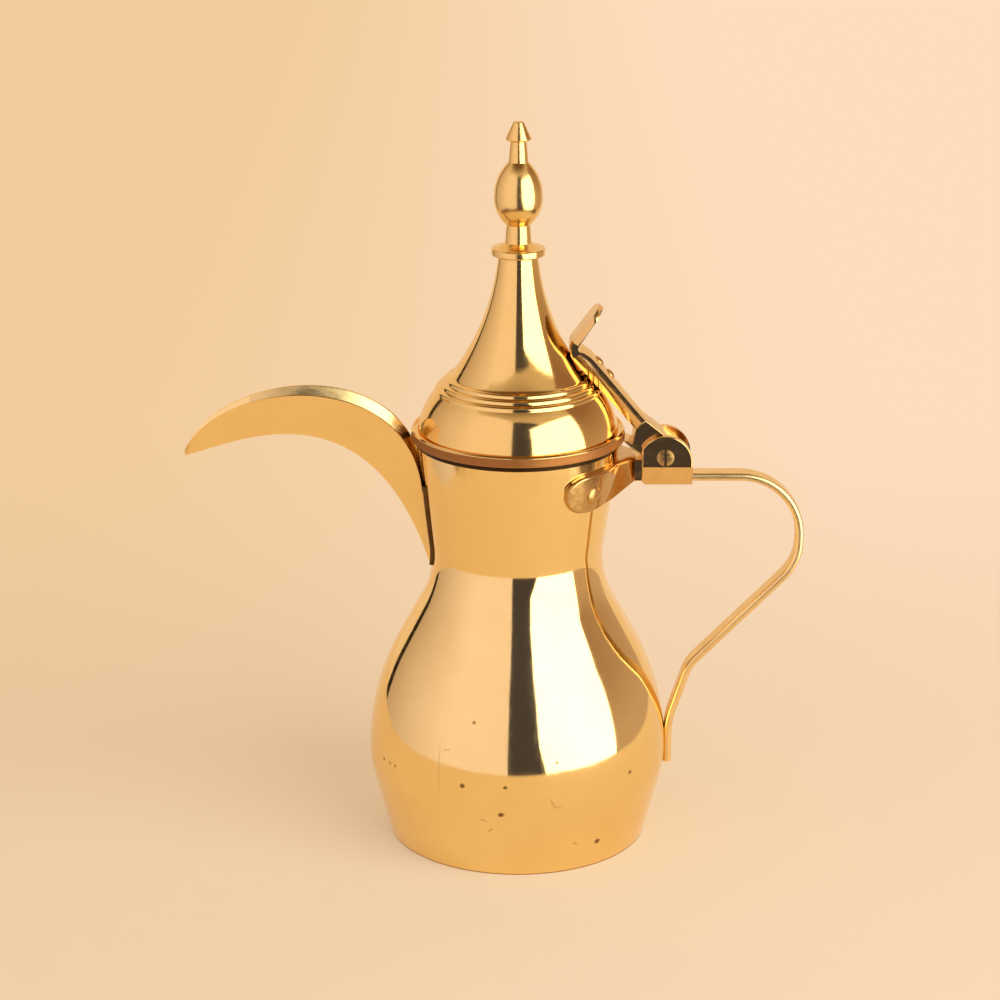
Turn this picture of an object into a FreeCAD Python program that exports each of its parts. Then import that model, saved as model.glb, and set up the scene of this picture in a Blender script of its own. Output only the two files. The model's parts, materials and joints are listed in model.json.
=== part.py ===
import FreeCAD, Part
import Sketcher
import math
import os
import types

# A brass dallah coffee pot. Origin at the centre of the foot, +Z up, spout to -X, handle to +X.
V = FreeCAD.Vector
doc = FreeCAD.newDocument("dallah")

# Driving sizes: millimetres, and degrees for the names that end in angle
sizes = {
    # belly, waist and neck
    "base_radius": 53.5,
    "belly_radius": 61.8,
    "belly_height": 38.0,
    "belly_land": 1.0,
    "belly_low_round": 6.0,
    "belly_high_round": 23.5,
    "waist_radius": 33.5,
    "waist_height": 113.3,
    "waist_round": 13.0,
    "mouth_radius": 41.8,
    "neck_height": 170.5,
    "wall": 1.3,
    "seam_drop": 4.5,
    "lap_length": 3.5,
    "lap_clearance": 0.05,
    "base_thickness": 1.5,
    # spout
    "spout_reach": 135.7,
    "spout_tip_drop": 5.6,
    "spout_tip_half": 1.9,
    "spout_tip_depth": 2.3,
    "spout_root_half": 10.0,
    "spout_sheet": 1.0,
    "spout_bury": 7.0,
    "lip_root_drop": 20.5,
    "lip_tip_run": 15.2,
    "lip_tip_rise": 32.8,
    "lip_root_run": 4.5,
    "lip_root_rise": 53.9,
    "keel_root_drop": 7.3,
    "keel_tip_run": 20.1,
    "keel_tip_rise": 4.7,
    "keel_root_run": 23.2,
    "keel_root_rise": 93.2,
    "seam_width": 2.2,
    "seam_thickness": 0.7,
    # hinge pin, fork and saddle
    "pin_standoff": 17.9,
    "pin_drop": 6.2,
    "pin_radius": 2.5,
    "pin_head_radius": 3.5,
    "pin_head_depth": 1.4,
    "pin_slot_width": 1.1,
    "pin_slot_depth": 0.8,
    "pin_clearance": 0.05,
    "fork_width": 18.3,
    "fork_front": 9.5,
    "fork_depth": 11.9,
    "fork_chamfer": 1.4,
    "cheek_radius": 11.0,
    "cheek_drop": 2.1,
    "barrel_radius": 6.8,
    "barrel_clearance": 0.7,
    "knuckle_width": 12.0,
    "side_clearance": 0.3,
    "collar_length": 2.8,
    "collar_width": 14.0,
    "collar_rise": 9.0,
    "saddle_top_drop": 0.4,
    "saddle_height": 17.0,
    "saddle_arm_rise": 6.3,
    "saddle_round": 6.0,
    "arm_half_width": 7.0,
    "arm_angle": 36.0,
    "ear_thickness": 2.4,
    "ear_angle": 62.0,
    "ear_rivet_angle": 44.0,
    "ear_rivet_drop": 9.5,
    "ear_rivet_head": 3.6,
    "ear_rivet_shank": 1.9,
    # handle strap
    "handle_reach": 116.4,
    "handle_width": 10.5,
    "handle_thickness": 3.6,
    "handle_rise": 2.0,
    "handle_top_round": 25.0,
    "handle_turn_drop": 37.0,
    "handle_turn_round": 8.8,
    "kink_standoff": 9.4,
    "kink_height": 72.0,
    "kink_round": 4.0,
    "foot_top": 9.0,
    "foot_end": 9.0,
    "foot_round": 6.0,
    "foot_bite": 0.4,
    # lid
    "lid_gap": 0.3,
    "lid_wall": 1.0,
    "flange_overhang": 1.6,
    "flange_height": 4.4,
    "flange_bevel": 0.8,
    "flange_lip": 1.2,
    "flange_groove": 1.3,
    "flange_groove_depth": 0.9,
    "flange_inner": 4.0,
    "skirt_depth": 5.0,
    "skirt_clearance": 1.5,
    "dome_center_drop": 5.9,
    "dome_curve": 35.4,
    "crease_angle": 53.3,
    "spire_curve": 98.0,
    "spire_radius": 8.0,
    "spire_height": 75.5,
    "spire_plate": 1.4,
    "bead_radius": 1.5,
    "bead_proud": 0.6,
    "bead_first_angle": 40.9,
    "bead_step_angle": 4.8,
    # thumb lever
    "lever_foot_out": 12.4,
    "lever_foot_up": 11.3,
    "lever_bend_in": 8.3,
    "lever_bend_height": 37.7,
    "lever_width": 11.4,
    "lever_side": 3.3,
    "lever_crown": 8.3,
    "bend_width": 14.0,
    "bend_side": 3.0,
    "bend_crown": 5.6,
    "bend_half": 2.4,
    "tip_length": 20.5,
    "tip_angle": 61.0,
    "tip_width": 17.6,
    "tip_thickness": 2.1,
    "tip_round": 6.0,
    "knuckle_top_angle": 43.0,
    "knuckle_heel_angle": 195.0,
    "knuckle_heel_out": 2.7,
    "knuckle_heel_drop": 3.6,
    "knuckle_notch_out": 2.8,
    "knuckle_notch_drop": 1.2,
    "lever_rivet_first": 23.0,
    "lever_rivet_step": 7.0,
    "lever_rivet_head": 2.3,
    "lever_rivet_shank": 1.4,
    "lever_rivet_tail": 4.0,
    "rivet_head_rise": 1.1,
    # finial
    "finial_collar_radius": 10.8,
    "finial_collar_rim": 3.2,
    "finial_collar_height": 5.3,
    "finial_collar_round": 0.8,
    "finial_collar_sweep": 9.0,
    "tenon_radius": 2.6,
    "tenon_tail": 1.2,
    "stem_low_radius": 5.3,
    "stem_high_radius": 4.75,
    "stem_length": 7.2,
    "bulb_foot_radius": 5.0,
    "bulb_radius": 9.7,
    "bulb_low_length": 12.2,
    "bulb_low_curve": 15.0,
    "bulb_high_length": 13.0,
    "bulb_high_curve": 19.0,
    "neck_low_radius": 3.95,
    "neck_high_radius": 3.15,
    "neck_length": 8.4,
    "spigot_radius": 1.6,
    "spigot_length": 4.0,
    "cap_radius": 5.2,
    "cap_top_radius": 2.0,
    "cap_length": 7.6,
    "cap_edge": 0.8,
}

sheet = doc.addObject("Spreadsheet::Sheet", "Sizes")
for row, (alias, number) in enumerate(sizes.items(), start=1):
    sheet.set(f"A{row}", alias)
    sheet.set(f"B{row}", str(number))
    sheet.setAlias(f"B{row}", alias)
doc.recompute()


# A sum of sizes: its number, and the text that ties a property to the sheet
class Size:
    def __init__(self, number, text):
        self.number = float(number)
        self.text = text

    def __add__(self, other):
        return Size(self.number + value(other), f"({self.text} + {tie(other)})")

    def __radd__(self, other):
        return Size(value(other) + self.number, f"({tie(other)} + {self.text})")

    def __sub__(self, other):
        return Size(self.number - value(other), f"({self.text} - {tie(other)})")

    def __rsub__(self, other):
        return Size(value(other) - self.number, f"({tie(other)} - {self.text})")

    def __mul__(self, other):
        return Size(self.number * value(other), f"{self.text} * {tie(other)}")

    def __rmul__(self, other):
        return Size(value(other) * self.number, f"{tie(other)} * {self.text}")

    def __truediv__(self, other):
        return Size(self.number / value(other), f"{self.text} / ({tie(other)})")

    def __pow__(self, power):
        return Size(self.number ** power, f"({self.text}) ^ {power}")

    def __neg__(self):
        return Size(-self.number, f"(-1 * {self.text})")


def value(amount):
    return amount.number if isinstance(amount, Size) else float(amount)


def tie(amount):
    return amount.text if isinstance(amount, Size) else str(amount)


def root(amount):
    return Size(math.sqrt(amount.number), f"sqrt({amount.text})")


def cosine(angle):
    return Size(math.cos(math.radians(angle.number)), f"cos({angle.text})")


def sine(angle):
    return Size(math.sin(math.radians(angle.number)), f"sin({angle.text})")


size = types.SimpleNamespace(**{alias: Size(number, f"Sizes.{alias}") for alias, number in sizes.items()})


def origin_plane(body, role):
    return next(item for item in body.Origin.OriginFeatures if item.Role == role)


def new_sketch(body, name, role):
    sketch = body.newObject("Sketcher::SketchObject", name)
    sketch.AttachmentSupport = [(origin_plane(body, role), "")]
    sketch.MapMode = "FlatFace"
    return sketch


def constrain(sketch, amount, *arguments):
    index = sketch.addConstraint(Sketcher.Constraint(*arguments, value(amount)))
    sketch.setExpression(f"Constraints[{index}]", tie(amount))


# A point is held by its two coordinates; a zero puts it on the sketch axis
def hold_point(sketch, geometry, end, across, up):
    if across == 0:
        sketch.addConstraint(Sketcher.Constraint("PointOnObject", geometry, end, -2))
    else:
        constrain(sketch, across, "DistanceX", -1, 1, geometry, end)
    if up == 0:
        sketch.addConstraint(Sketcher.Constraint("PointOnObject", geometry, end, -1))
    else:
        constrain(sketch, up, "DistanceY", -1, 1, geometry, end)


def arc_between(start, finish, radius, side):
    chord = finish - start
    left = V(-chord.y, chord.x, 0).normalize()
    center = (start + finish) * 0.5 + left * side * math.sqrt(radius ** 2 - (chord.Length / 2) ** 2)
    first, last = (start, finish) if side > 0 else (finish, start)
    begin = math.atan2(first.y - center.y, first.x - center.x)
    end = math.atan2(last.y - center.y, last.x - center.x)
    return Part.ArcOfCircle(Part.Circle(center, V(0, 0, 1), radius), begin, end)


# Closed outline. A corner is (across, up), or (across, up, round) with the length that its rounding
# takes from both neighbours; ("arc", radius, side) between two corners bends the run that joins them,
# with its centre on the left for side 1 and on the right for side -1.
def draw_outline(sketch, entries):
    corners = [entry for entry in entries if entry[0] != "arc"]
    bends = {}
    for position, entry in enumerate(entries):
        if entry[0] == "arc":
            bends[len([other for other in entries[:position] if other[0] != "arc"]) - 1] = entry[1:]
    count = len(corners)
    points = [V(value(corner[0]), value(corner[1]), 0) for corner in corners]
    rounds = [value(corner[2]) if len(corner) > 2 else 0 for corner in corners]

    runs = []
    for index in range(count):
        follow = (index + 1) % count
        if index in bends:
            radius, side = bends[index]
            geometry = sketch.addGeometry(arc_between(points[index], points[follow], value(radius), side))
            constrain(sketch, radius, "Radius", geometry)
            runs.append((geometry, 1, 2) if side > 0 else (geometry, 2, 1))
        else:
            along = (points[follow] - points[index]).normalize()
            start = points[index] + along * rounds[index]
            finish = points[follow] - along * rounds[follow]
            runs.append((sketch.addGeometry(Part.LineSegment(start, finish)), 1, 2))

    for index, corner in enumerate(corners):
        before, _, before_end = runs[index - 1]
        after, after_start, _ = runs[index]
        if not rounds[index]:
            sketch.addConstraint(Sketcher.Constraint("Coincident", before, before_end, after, after_start))
            hold_point(sketch, after, after_start, corner[0], corner[1])
            continue
        incoming = (points[index] - points[index - 1]).normalize()
        outgoing = (points[(index + 1) % count] - points[index]).normalize()
        start = points[index] - incoming * rounds[index]
        finish = points[index] + outgoing * rounds[index]
        turn = incoming.getAngle(outgoing)
        side = 1 if incoming.cross(outgoing).z > 0 else -1
        arc = sketch.addGeometry(arc_between(start, finish, rounds[index] / math.tan(turn / 2), side))
        arc_start, arc_end = (1, 2) if side > 0 else (2, 1)
        tip = sketch.addGeometry(Part.Point(points[index]), True)
        sketch.addConstraint(Sketcher.Constraint("PointOnObject", tip, 1, before))
        sketch.addConstraint(Sketcher.Constraint("PointOnObject", tip, 1, after))
        hold_point(sketch, tip, 1, corner[0], corner[1])
        sketch.addConstraint(Sketcher.Constraint("Tangent", before, before_end, arc, arc_start))
        sketch.addConstraint(Sketcher.Constraint("Tangent", arc, arc_end, after, after_start))
        constrain(sketch, corner[2], "Distance", tip, 1, before, before_end)


def turned(name, entries):
    body = doc.addObject("PartDesign::Body", name)
    sketch = new_sketch(body, f"{name}_outline", "XZ_Plane")
    draw_outline(sketch, entries)
    turn = body.newObject("PartDesign::Revolution", f"{name}_turn")
    turn.Profile = sketch
    turn.ReferenceAxis = (sketch, ["V_Axis"])
    turn.Angle = 360
    return body


def padded(name, role, entries, thickness):
    body = doc.addObject("PartDesign::Body", name)
    sketch = new_sketch(body, f"{name}_outline", role)
    draw_outline(sketch, entries)
    pad = body.newObject("PartDesign::Pad", f"{name}_pad")
    pad.Profile = sketch
    pad.SideType = "Symmetric"
    pad.setExpression("Length", tie(thickness))
    return body


def pocket(body, name, role, entries, depth):
    sketch = new_sketch(body, f"{name}_outline", role)
    draw_outline(sketch, entries)
    cut = body.newObject("PartDesign::Pocket", name)
    cut.Profile = sketch
    cut.SideType = "Symmetric"
    cut.setExpression("Length", tie(depth))
    return cut


def bored(body, name, role, across, up, radius, depth):
    sketch = new_sketch(body, f"{name}_outline", role)
    circle = sketch.addGeometry(Part.Circle(V(value(across), value(up), 0), V(0, 0, 1), value(radius)))
    hold_point(sketch, circle, 3, across, up)
    constrain(sketch, radius, "Radius", circle)
    cut = body.newObject("PartDesign::Pocket", name)
    cut.Profile = sketch
    cut.SideType = "Symmetric"
    cut.setExpression("Length", tie(depth))
    return cut


def joined(kind, name, base, tool):
    result = doc.addObject(kind, name)
    result.Base = base
    result.Tool = tool
    return result


def formed(name, shape):
    feature = doc.addObject("Part::Feature", name)
    feature.Shape = shape
    feature.Placement = FreeCAD.Placement()
    return feature


# Lines of the body: the lower side, the shoulder and the neck, each between two corners
low_corner = size.belly_height - size.belly_land / 2 - size.belly_low_round
high_corner = size.belly_height + size.belly_land / 2 + size.belly_high_round
seam_height = size.waist_height - size.waist_round - size.seam_drop


def side_radius(up):
    return size.base_radius + (size.belly_radius - size.base_radius) * up / low_corner


def shoulder_radius(up):
    rise = (up - high_corner) / (size.waist_height - high_corner)
    return size.belly_radius + (size.waist_radius - size.belly_radius) * rise


def neck_radius(up):
    rise = (up - size.waist_height) / (size.neck_height - size.waist_height)
    return size.waist_radius + (size.mouth_radius - size.waist_radius) * rise


# Outer skin of the pot as a full solid, used to seat what lies on it
body_skin = turned("body_skin", [
    (0, 0),
    (size.base_radius, 0),
    (size.belly_radius, low_corner, size.belly_low_round),
    (size.belly_radius, high_corner, size.belly_high_round),
    (size.waist_radius, size.waist_height, size.waist_round),
    (size.mouth_radius, size.neck_height),
    (0, size.neck_height),
])

lap_top = seam_height + size.lap_length
lap_foot = seam_height - size.lap_length
belly_shell = turned("belly_shell", [
    (size.base_radius, 0),
    (size.belly_radius, low_corner, size.belly_low_round),
    (size.belly_radius, high_corner, size.belly_high_round),
    (shoulder_radius(seam_height), seam_height),
    (shoulder_radius(seam_height) - size.wall - size.lap_clearance, seam_height),
    (shoulder_radius(lap_top) - size.wall - size.lap_clearance, lap_top),
    (shoulder_radius(lap_top) - 2 * size.wall - size.lap_clearance, lap_top),
    (shoulder_radius(seam_height) - 2 * size.wall - size.lap_clearance, seam_height),
    (shoulder_radius(lap_foot) - size.wall, lap_foot),
    (size.belly_radius - size.wall, high_corner, size.belly_high_round),
    (size.belly_radius - size.wall, low_corner, size.belly_low_round),
    (size.base_radius - size.wall, 0),
])

base_plate = turned("base_plate", [
    (0, 0),
    (size.base_radius - size.wall, 0),
    (side_radius(size.base_thickness) - size.wall, size.base_thickness),
    (0, size.base_thickness),
])

neck_tube = turned("neck_tube", [
    (shoulder_radius(seam_height), seam_height),
    (size.waist_radius, size.waist_height, size.waist_round),
    (size.mouth_radius, size.neck_height),
    (size.mouth_radius - size.wall, size.neck_height),
    (size.waist_radius - size.wall, size.waist_height, size.waist_round),
    (shoulder_radius(seam_height) - size.wall, seam_height),
])


# Spout: a beak of V section between two curves, the lip along the top and the keel below
def bezier(start, start_pull, finish, finish_pull):
    curve = Part.BezierCurve()
    curve.setPoles([start, start + start_pull, finish + finish_pull, finish])
    return curve


tip = V(-value(size.spout_reach), 0, value(size.neck_height - size.spout_tip_drop))
lip_root_height = size.neck_height - size.lip_root_drop
lip_root = V(-value(neck_radius(lip_root_height)), 0, value(lip_root_height))
keel_root = V(-value(size.waist_radius), 0, value(size.waist_height - size.keel_root_drop))
keel_tip = tip - V(0, 0, value(size.spout_tip_depth))
lip = bezier(tip, V(value(size.lip_tip_run), 0, value(size.lip_tip_rise)),
             lip_root, V(-value(size.lip_root_run), 0, value(size.lip_root_rise)))
keel = bezier(keel_tip, V(value(size.keel_tip_run), 0, value(size.keel_tip_rise)),
              keel_root, V(-value(size.keel_root_run), 0, value(size.keel_root_rise)))
spout_stations = 14


# One V across the beak: grown moves both walls outwards, reach lengthens them past the lip
def spout_vee(share, grown, reach):
    top = lip.value(share)
    low = keel.value(share)
    progress = (top.x - tip.x) / (lip_root.x - tip.x)
    swell = math.sqrt(max(progress, 0))
    half = value(size.spout_tip_half) + value(size.spout_root_half - size.spout_tip_half) * swell
    rise = top - low
    slope = math.atan2(half, rise.Length)
    upward = rise.normalize()
    apex = low - upward * grown / math.sin(slope)
    edge = top + upward * reach
    spread = (edge - apex).Length * math.tan(slope)
    return apex, edge + V(0, spread, 0), edge - V(0, spread, 0)


def spout_solid(section):
    wires = [Part.makePolygon(corners + corners[:1])
             for corners in (section(step / spout_stations) for step in range(spout_stations + 1))]
    stub = Part.Face(wires[-1]).extrude(V(value(size.spout_bury), 0, 0))
    return Part.makeLoft(wires, True, True).fuse(stub)


def sheet_section(share):
    apex, left, right = spout_vee(share, 0, 0)
    inner_apex, inner_left, inner_right = spout_vee(share, -value(size.spout_sheet), 0)
    return [apex, left, inner_left, inner_apex, inner_right, right]


spout_folded = formed("spout_folded", spout_solid(sheet_section))
spout_channel = formed("spout_channel", spout_solid(
    lambda share: list(spout_vee(share, -value(size.spout_sheet), value(size.spout_sheet)))))
spout_filled = formed("spout_filled", spout_solid(lambda share: list(spout_vee(share, 0, 0))))
spout_grown = formed("spout_grown", spout_solid(
    lambda share: list(spout_vee(share, value(size.seam_width), 0))))
spout_beak = joined("Part::Cut", "spout_beak", spout_folded, body_skin)

# The lips that carry the solder lie on the neck, on both sides of the beak and round its keel
seam_skin = turned("seam_skin", [
    (0, seam_height),
    (shoulder_radius(seam_height) + size.seam_thickness, seam_height),
    (size.waist_radius + size.seam_thickness, size.waist_height, size.waist_round),
    (size.mouth_radius + size.seam_thickness, size.neck_height),
    (0, size.neck_height),
])
seam_round_beak = joined("Part::Common", "seam_round_beak", seam_skin, spout_grown)
seam_off_beak = joined("Part::Cut", "seam_off_beak", seam_round_beak, spout_filled)
spout_solder_seam = joined("Part::Cut", "spout_solder_seam", seam_off_beak, body_skin)

# Hinge: the pin lies along Y, out from the mouth and a little below it
pin_across = size.mouth_radius + size.pin_standoff
pin_up = size.neck_height - size.pin_drop
fork_face = pin_across - size.fork_front
fork_bottom = pin_up - size.fork_depth
fork_back = pin_across + size.cheek_radius
cheek_center = pin_up - size.cheek_drop
slot_width = size.knuckle_width + 2 * size.side_clearance
slot_floor = pin_up - size.barrel_radius - size.barrel_clearance

fork_block = padded("fork_block", "XZ_Plane", [
    (fork_face + size.fork_chamfer, fork_bottom),
    (fork_back, fork_bottom),
    (fork_back, cheek_center),
    ("arc", size.cheek_radius, 1),
    (fork_face, cheek_center + root(size.cheek_radius ** 2 - size.fork_front ** 2)),
    (fork_face, fork_bottom + size.fork_chamfer),
], size.fork_width)
pocket(fork_block, "fork_slot", "YZ_Plane", [
    (-slot_width / 2, slot_floor),
    (slot_width / 2, slot_floor),
    (slot_width / 2, pin_up + 2 * size.cheek_radius),
    (-slot_width / 2, pin_up + 2 * size.cheek_radius),
], 4 * fork_back)
bored(fork_block, "fork_bore", "XZ_Plane", pin_across, pin_up, size.pin_radius, 2 * size.fork_width)

collar_face = fork_face - size.collar_length
fork_collar = padded("fork_collar", "XZ_Plane", [
    (collar_face, fork_bottom + size.fork_chamfer),
    (fork_face, fork_bottom + size.fork_chamfer),
    (fork_face, fork_bottom + size.fork_chamfer + size.collar_rise),
    (collar_face, fork_bottom + size.fork_chamfer + size.collar_rise),
], size.collar_width)
fork_with_collar = joined("Part::Fuse", "fork_with_collar", fork_block, fork_collar)

# Slotted screw with its head sunk in the near cheek
pin_head = doc.addObject("Part::Cone", "pin_head")
pin_head.setExpression("Radius1", tie(size.pin_head_radius))
pin_head.setExpression("Radius2", tie(size.pin_radius))
pin_head.setExpression("Height", tie(size.pin_head_depth))
pin_shank = doc.addObject("Part::Cylinder", "pin_shank")
pin_shank.setExpression("Radius", tie(size.pin_radius))
pin_shank.setExpression("Height", tie(size.fork_width))
for piece in (pin_head, pin_shank):
    piece.Placement.Rotation = FreeCAD.Rotation(V(1, 0, 0), -90)
    piece.setExpression("Placement.Base.x", tie(pin_across))
    piece.setExpression("Placement.Base.y", tie(-size.fork_width / 2))
    piece.setExpression("Placement.Base.z", tie(pin_up))
hinge_fork = joined("Part::Cut", "hinge_fork", fork_with_collar, pin_head)
pin_blank = joined("Part::Fuse", "pin_blank", pin_head, pin_shank)
pin_slot = doc.addObject("Part::Box", "pin_slot")
pin_slot.setExpression("Length", tie(size.pin_slot_width))
pin_slot.setExpression("Width", tie(size.pin_slot_depth))
pin_slot.setExpression("Height", tie(2 * size.pin_head_radius))
pin_slot.setExpression("Placement.Base.x", tie(pin_across - size.pin_slot_width / 2))
pin_slot.setExpression("Placement.Base.y", tie(-size.fork_width / 2))
pin_slot.setExpression("Placement.Base.z", tie(pin_up - size.pin_head_radius))
hinge_pin = joined("Part::Cut", "hinge_pin", pin_blank, pin_slot)

# Saddle: two ears that hug the neck and a wedge that carries the fork
saddle_top = pin_up - size.saddle_top_drop
saddle_low = saddle_top - size.saddle_height
ear_cone = doc.addObject("Part::Cone", "ear_cone")
ear_cone.setExpression("Radius1", tie(neck_radius(saddle_low) + size.ear_thickness))
ear_cone.setExpression("Radius2", tie(neck_radius(saddle_top) + size.ear_thickness))
ear_cone.setExpression("Height", tie(size.saddle_height))
ear_cone.setExpression("Angle", tie(2 * size.ear_angle))
ear_cone.setExpression("Placement.Base.z", tie(saddle_low))
ear_cone.setExpression("Placement.Rotation.Angle", tie(-size.ear_angle))
ear_reach = neck_radius(saddle_low) + size.ear_thickness
saddle_arms = padded("saddle_arms", "XY_Plane", [
    (collar_face, -size.arm_half_width),
    (collar_face, size.arm_half_width),
    (ear_reach * cosine(size.arm_angle), ear_reach * sine(size.arm_angle)),
    (ear_reach * cosine(size.arm_angle), -ear_reach * sine(size.arm_angle)),
], 4 * saddle_top)
saddle_plan = joined("Part::Fuse", "saddle_plan", ear_cone, saddle_arms)
leaf_end = ear_reach * cosine(size.ear_angle) - size.ear_thickness
saddle_leaf = padded("saddle_leaf", "XZ_Plane", [
    (collar_face, saddle_low + size.saddle_arm_rise),
    (collar_face, saddle_top),
    (leaf_end, saddle_top, size.saddle_round),
    (leaf_end, saddle_low + size.saddle_round / 4, size.saddle_round),
    (ear_reach * cosine(size.arm_angle), saddle_low, size.saddle_round),
], 4 * ear_reach)
saddle_blank = joined("Part::Common", "saddle_blank", saddle_plan, saddle_leaf)
saddle_seated = joined("Part::Cut", "saddle_seated", saddle_blank, body_skin)


# A rivet along +Z with its seat at zero: low domed head above, shank below
def rivet(head, shank, rise, length):
    crown = (head ** 2 + rise ** 2) / (2 * rise)
    dome = Part.makeSphere(crown, V(0, 0, rise - crown)).common(Part.makeCylinder(head, rise))
    return dome.fuse(Part.makeCylinder(shank, length, V(0, 0, -length)))


neck_flare = (size.mouth_radius - size.waist_radius) / (size.neck_height - size.waist_height)
neck_slope = math.degrees(math.atan(value(neck_flare)))
rivet_up = pin_up - size.ear_rivet_drop
rivet_out = value(neck_radius(rivet_up) + size.ear_thickness)
shank_length = value(size.ear_thickness + 2 * size.wall)
ear_rivet_solids = []
ear_hole_solids = []
for turn in (value(size.ear_rivet_angle), -value(size.ear_rivet_angle)):
    lean = FreeCAD.Rotation(V(0, 1, 0), 90 + neck_slope)
    spin = FreeCAD.Rotation(V(0, 0, 1), turn)
    place = FreeCAD.Placement(spin.multVec(V(rivet_out, 0, value(rivet_up))), spin.multiply(lean))
    solid = rivet(value(size.ear_rivet_head), value(size.ear_rivet_shank),
                  value(size.rivet_head_rise), shank_length)
    solid.Placement = place
    hole = Part.makeCylinder(value(size.ear_rivet_shank), 2 * shank_length, V(0, 0, -shank_length))
    hole.Placement = place
    ear_rivet_solids.append(solid)
    ear_hole_solids.append(hole)
saddle_rivets = formed("saddle_rivets", Part.Compound(ear_rivet_solids))
ear_holes = formed("ear_holes", Part.Compound(ear_hole_solids))
neck_saddle = joined("Part::Cut", "neck_saddle", saddle_seated, ear_holes)
neck_slotted = joined("Part::Cut", "neck_slotted", neck_tube, spout_channel)
neck_shell = joined("Part::Cut", "neck_shell", neck_slotted, ear_holes)


# A strap of even thickness along a bent line: the centre line is held, the sides keep their distance
def draw_strap(sketch, path, thickness):
    points = [V(value(corner[0]), value(corner[1]), 0) for corner in path]
    rounds = [value(corner[2]) if len(corner) > 2 else 0 for corner in path]
    half = value(thickness) / 2
    centers = []
    for index in range(len(points) - 1):
        along = (points[index + 1] - points[index]).normalize()
        start = points[index] + along * rounds[index]
        finish = points[index + 1] - along * rounds[index + 1]
        centers.append((sketch.addGeometry(Part.LineSegment(start, finish), True), start, finish, along))
    arcs = {}
    for index in range(1, len(points) - 1):
        before, _, start, incoming = centers[index - 1]
        after, finish, _, outgoing = centers[index]
        side = 1 if incoming.cross(outgoing).z > 0 else -1
        radius = rounds[index] / math.tan(incoming.getAngle(outgoing) / 2)
        curve = arc_between(start, finish, radius, side)
        arc = sketch.addGeometry(curve, True)
        ends = (1, 2) if side > 0 else (2, 1)
        tip_point = sketch.addGeometry(Part.Point(points[index]), True)
        sketch.addConstraint(Sketcher.Constraint("PointOnObject", tip_point, 1, before))
        sketch.addConstraint(Sketcher.Constraint("PointOnObject", tip_point, 1, after))
        hold_point(sketch, tip_point, 1, path[index][0], path[index][1])
        sketch.addConstraint(Sketcher.Constraint("Tangent", before, 2, arc, ends[0]))
        sketch.addConstraint(Sketcher.Constraint("Tangent", arc, ends[1], after, 1))
        constrain(sketch, path[index][2], "Distance", tip_point, 1, before, 2)
        arcs[index] = (arc, curve, side, radius)
    hold_point(sketch, centers[0][0], 1, path[0][0], path[0][1])
    hold_point(sketch, centers[-1][0], 2, path[-1][0], path[-1][1])

    sides = []
    for hand in (1, -1):
        edges = []
        for index, (center, start, finish, along) in enumerate(centers):
            offset = V(-along.y, along.x, 0) * half * hand
            edge = sketch.addGeometry(Part.LineSegment(start + offset, finish + offset))
            sketch.addConstraint(Sketcher.Constraint("Parallel", edge, center))
            edges.append(edge)
        constrain(sketch, thickness / 2, "Distance", edges[0], 1, centers[0][0])
        for index, (arc, curve, side, radius) in arcs.items():
            rim = Part.Circle(curve.Center, V(0, 0, 1), radius - side * hand * half)
            edge = sketch.addGeometry(Part.ArcOfCircle(rim, curve.FirstParameter, curve.LastParameter))
            ends = (1, 2) if side > 0 else (2, 1)
            sketch.addConstraint(Sketcher.Constraint("Tangent", edges[index - 1], 2, edge, ends[0]))
            sketch.addConstraint(Sketcher.Constraint("Tangent", edge, ends[1], edges[index], 1))
            sketch.addConstraint(Sketcher.Constraint("Coincident", edge, 3, arc, 3))
        sides.append(edges)
    for left, right, center, end in ((sides[0][0], sides[1][0], centers[0][0], 1),
                                     (sides[0][-1], sides[1][-1], centers[-1][0], 2)):
        first = sketch.getPoint(left, end)
        second = sketch.getPoint(right, end)
        close = sketch.addGeometry(Part.LineSegment(first, second))
        sketch.addConstraint(Sketcher.Constraint("Coincident", close, 1, left, end))
        sketch.addConstraint(Sketcher.Constraint("Coincident", close, 2, right, end))
        sketch.addConstraint(Sketcher.Constraint("PointOnObject", center, end, close))
        sketch.addConstraint(Sketcher.Constraint("Perpendicular", close, center))


# Handle: out from the fork, down round the grip, back to the belly, and a foot that lies on it
handle_up = fork_bottom + size.handle_rise
foot_across = size.belly_radius + size.handle_thickness / 2 - size.foot_bite
handle_bent = doc.addObject("PartDesign::Body", "handle_bent")
handle_path = new_sketch(handle_bent, "handle_outline", "XZ_Plane")
draw_strap(handle_path, [
    (fork_back, handle_up),
    (size.handle_reach, handle_up, size.handle_top_round),
    (size.handle_reach, handle_up - size.handle_turn_drop, size.handle_turn_round),
    (size.belly_radius + size.kink_standoff, size.kink_height, size.kink_round),
    (foot_across, size.belly_height + size.foot_top, size.foot_round),
    (foot_across, size.belly_height - size.foot_end),
], size.handle_thickness)
handle_pad = handle_bent.newObject("PartDesign::Pad", "handle_pad")
handle_pad.Profile = handle_path
handle_pad.SideType = "Symmetric"
handle_pad.setExpression("Length", tie(size.handle_width))
handle_strap = joined("Part::Cut", "handle_strap", handle_bent, body_skin)

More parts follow.
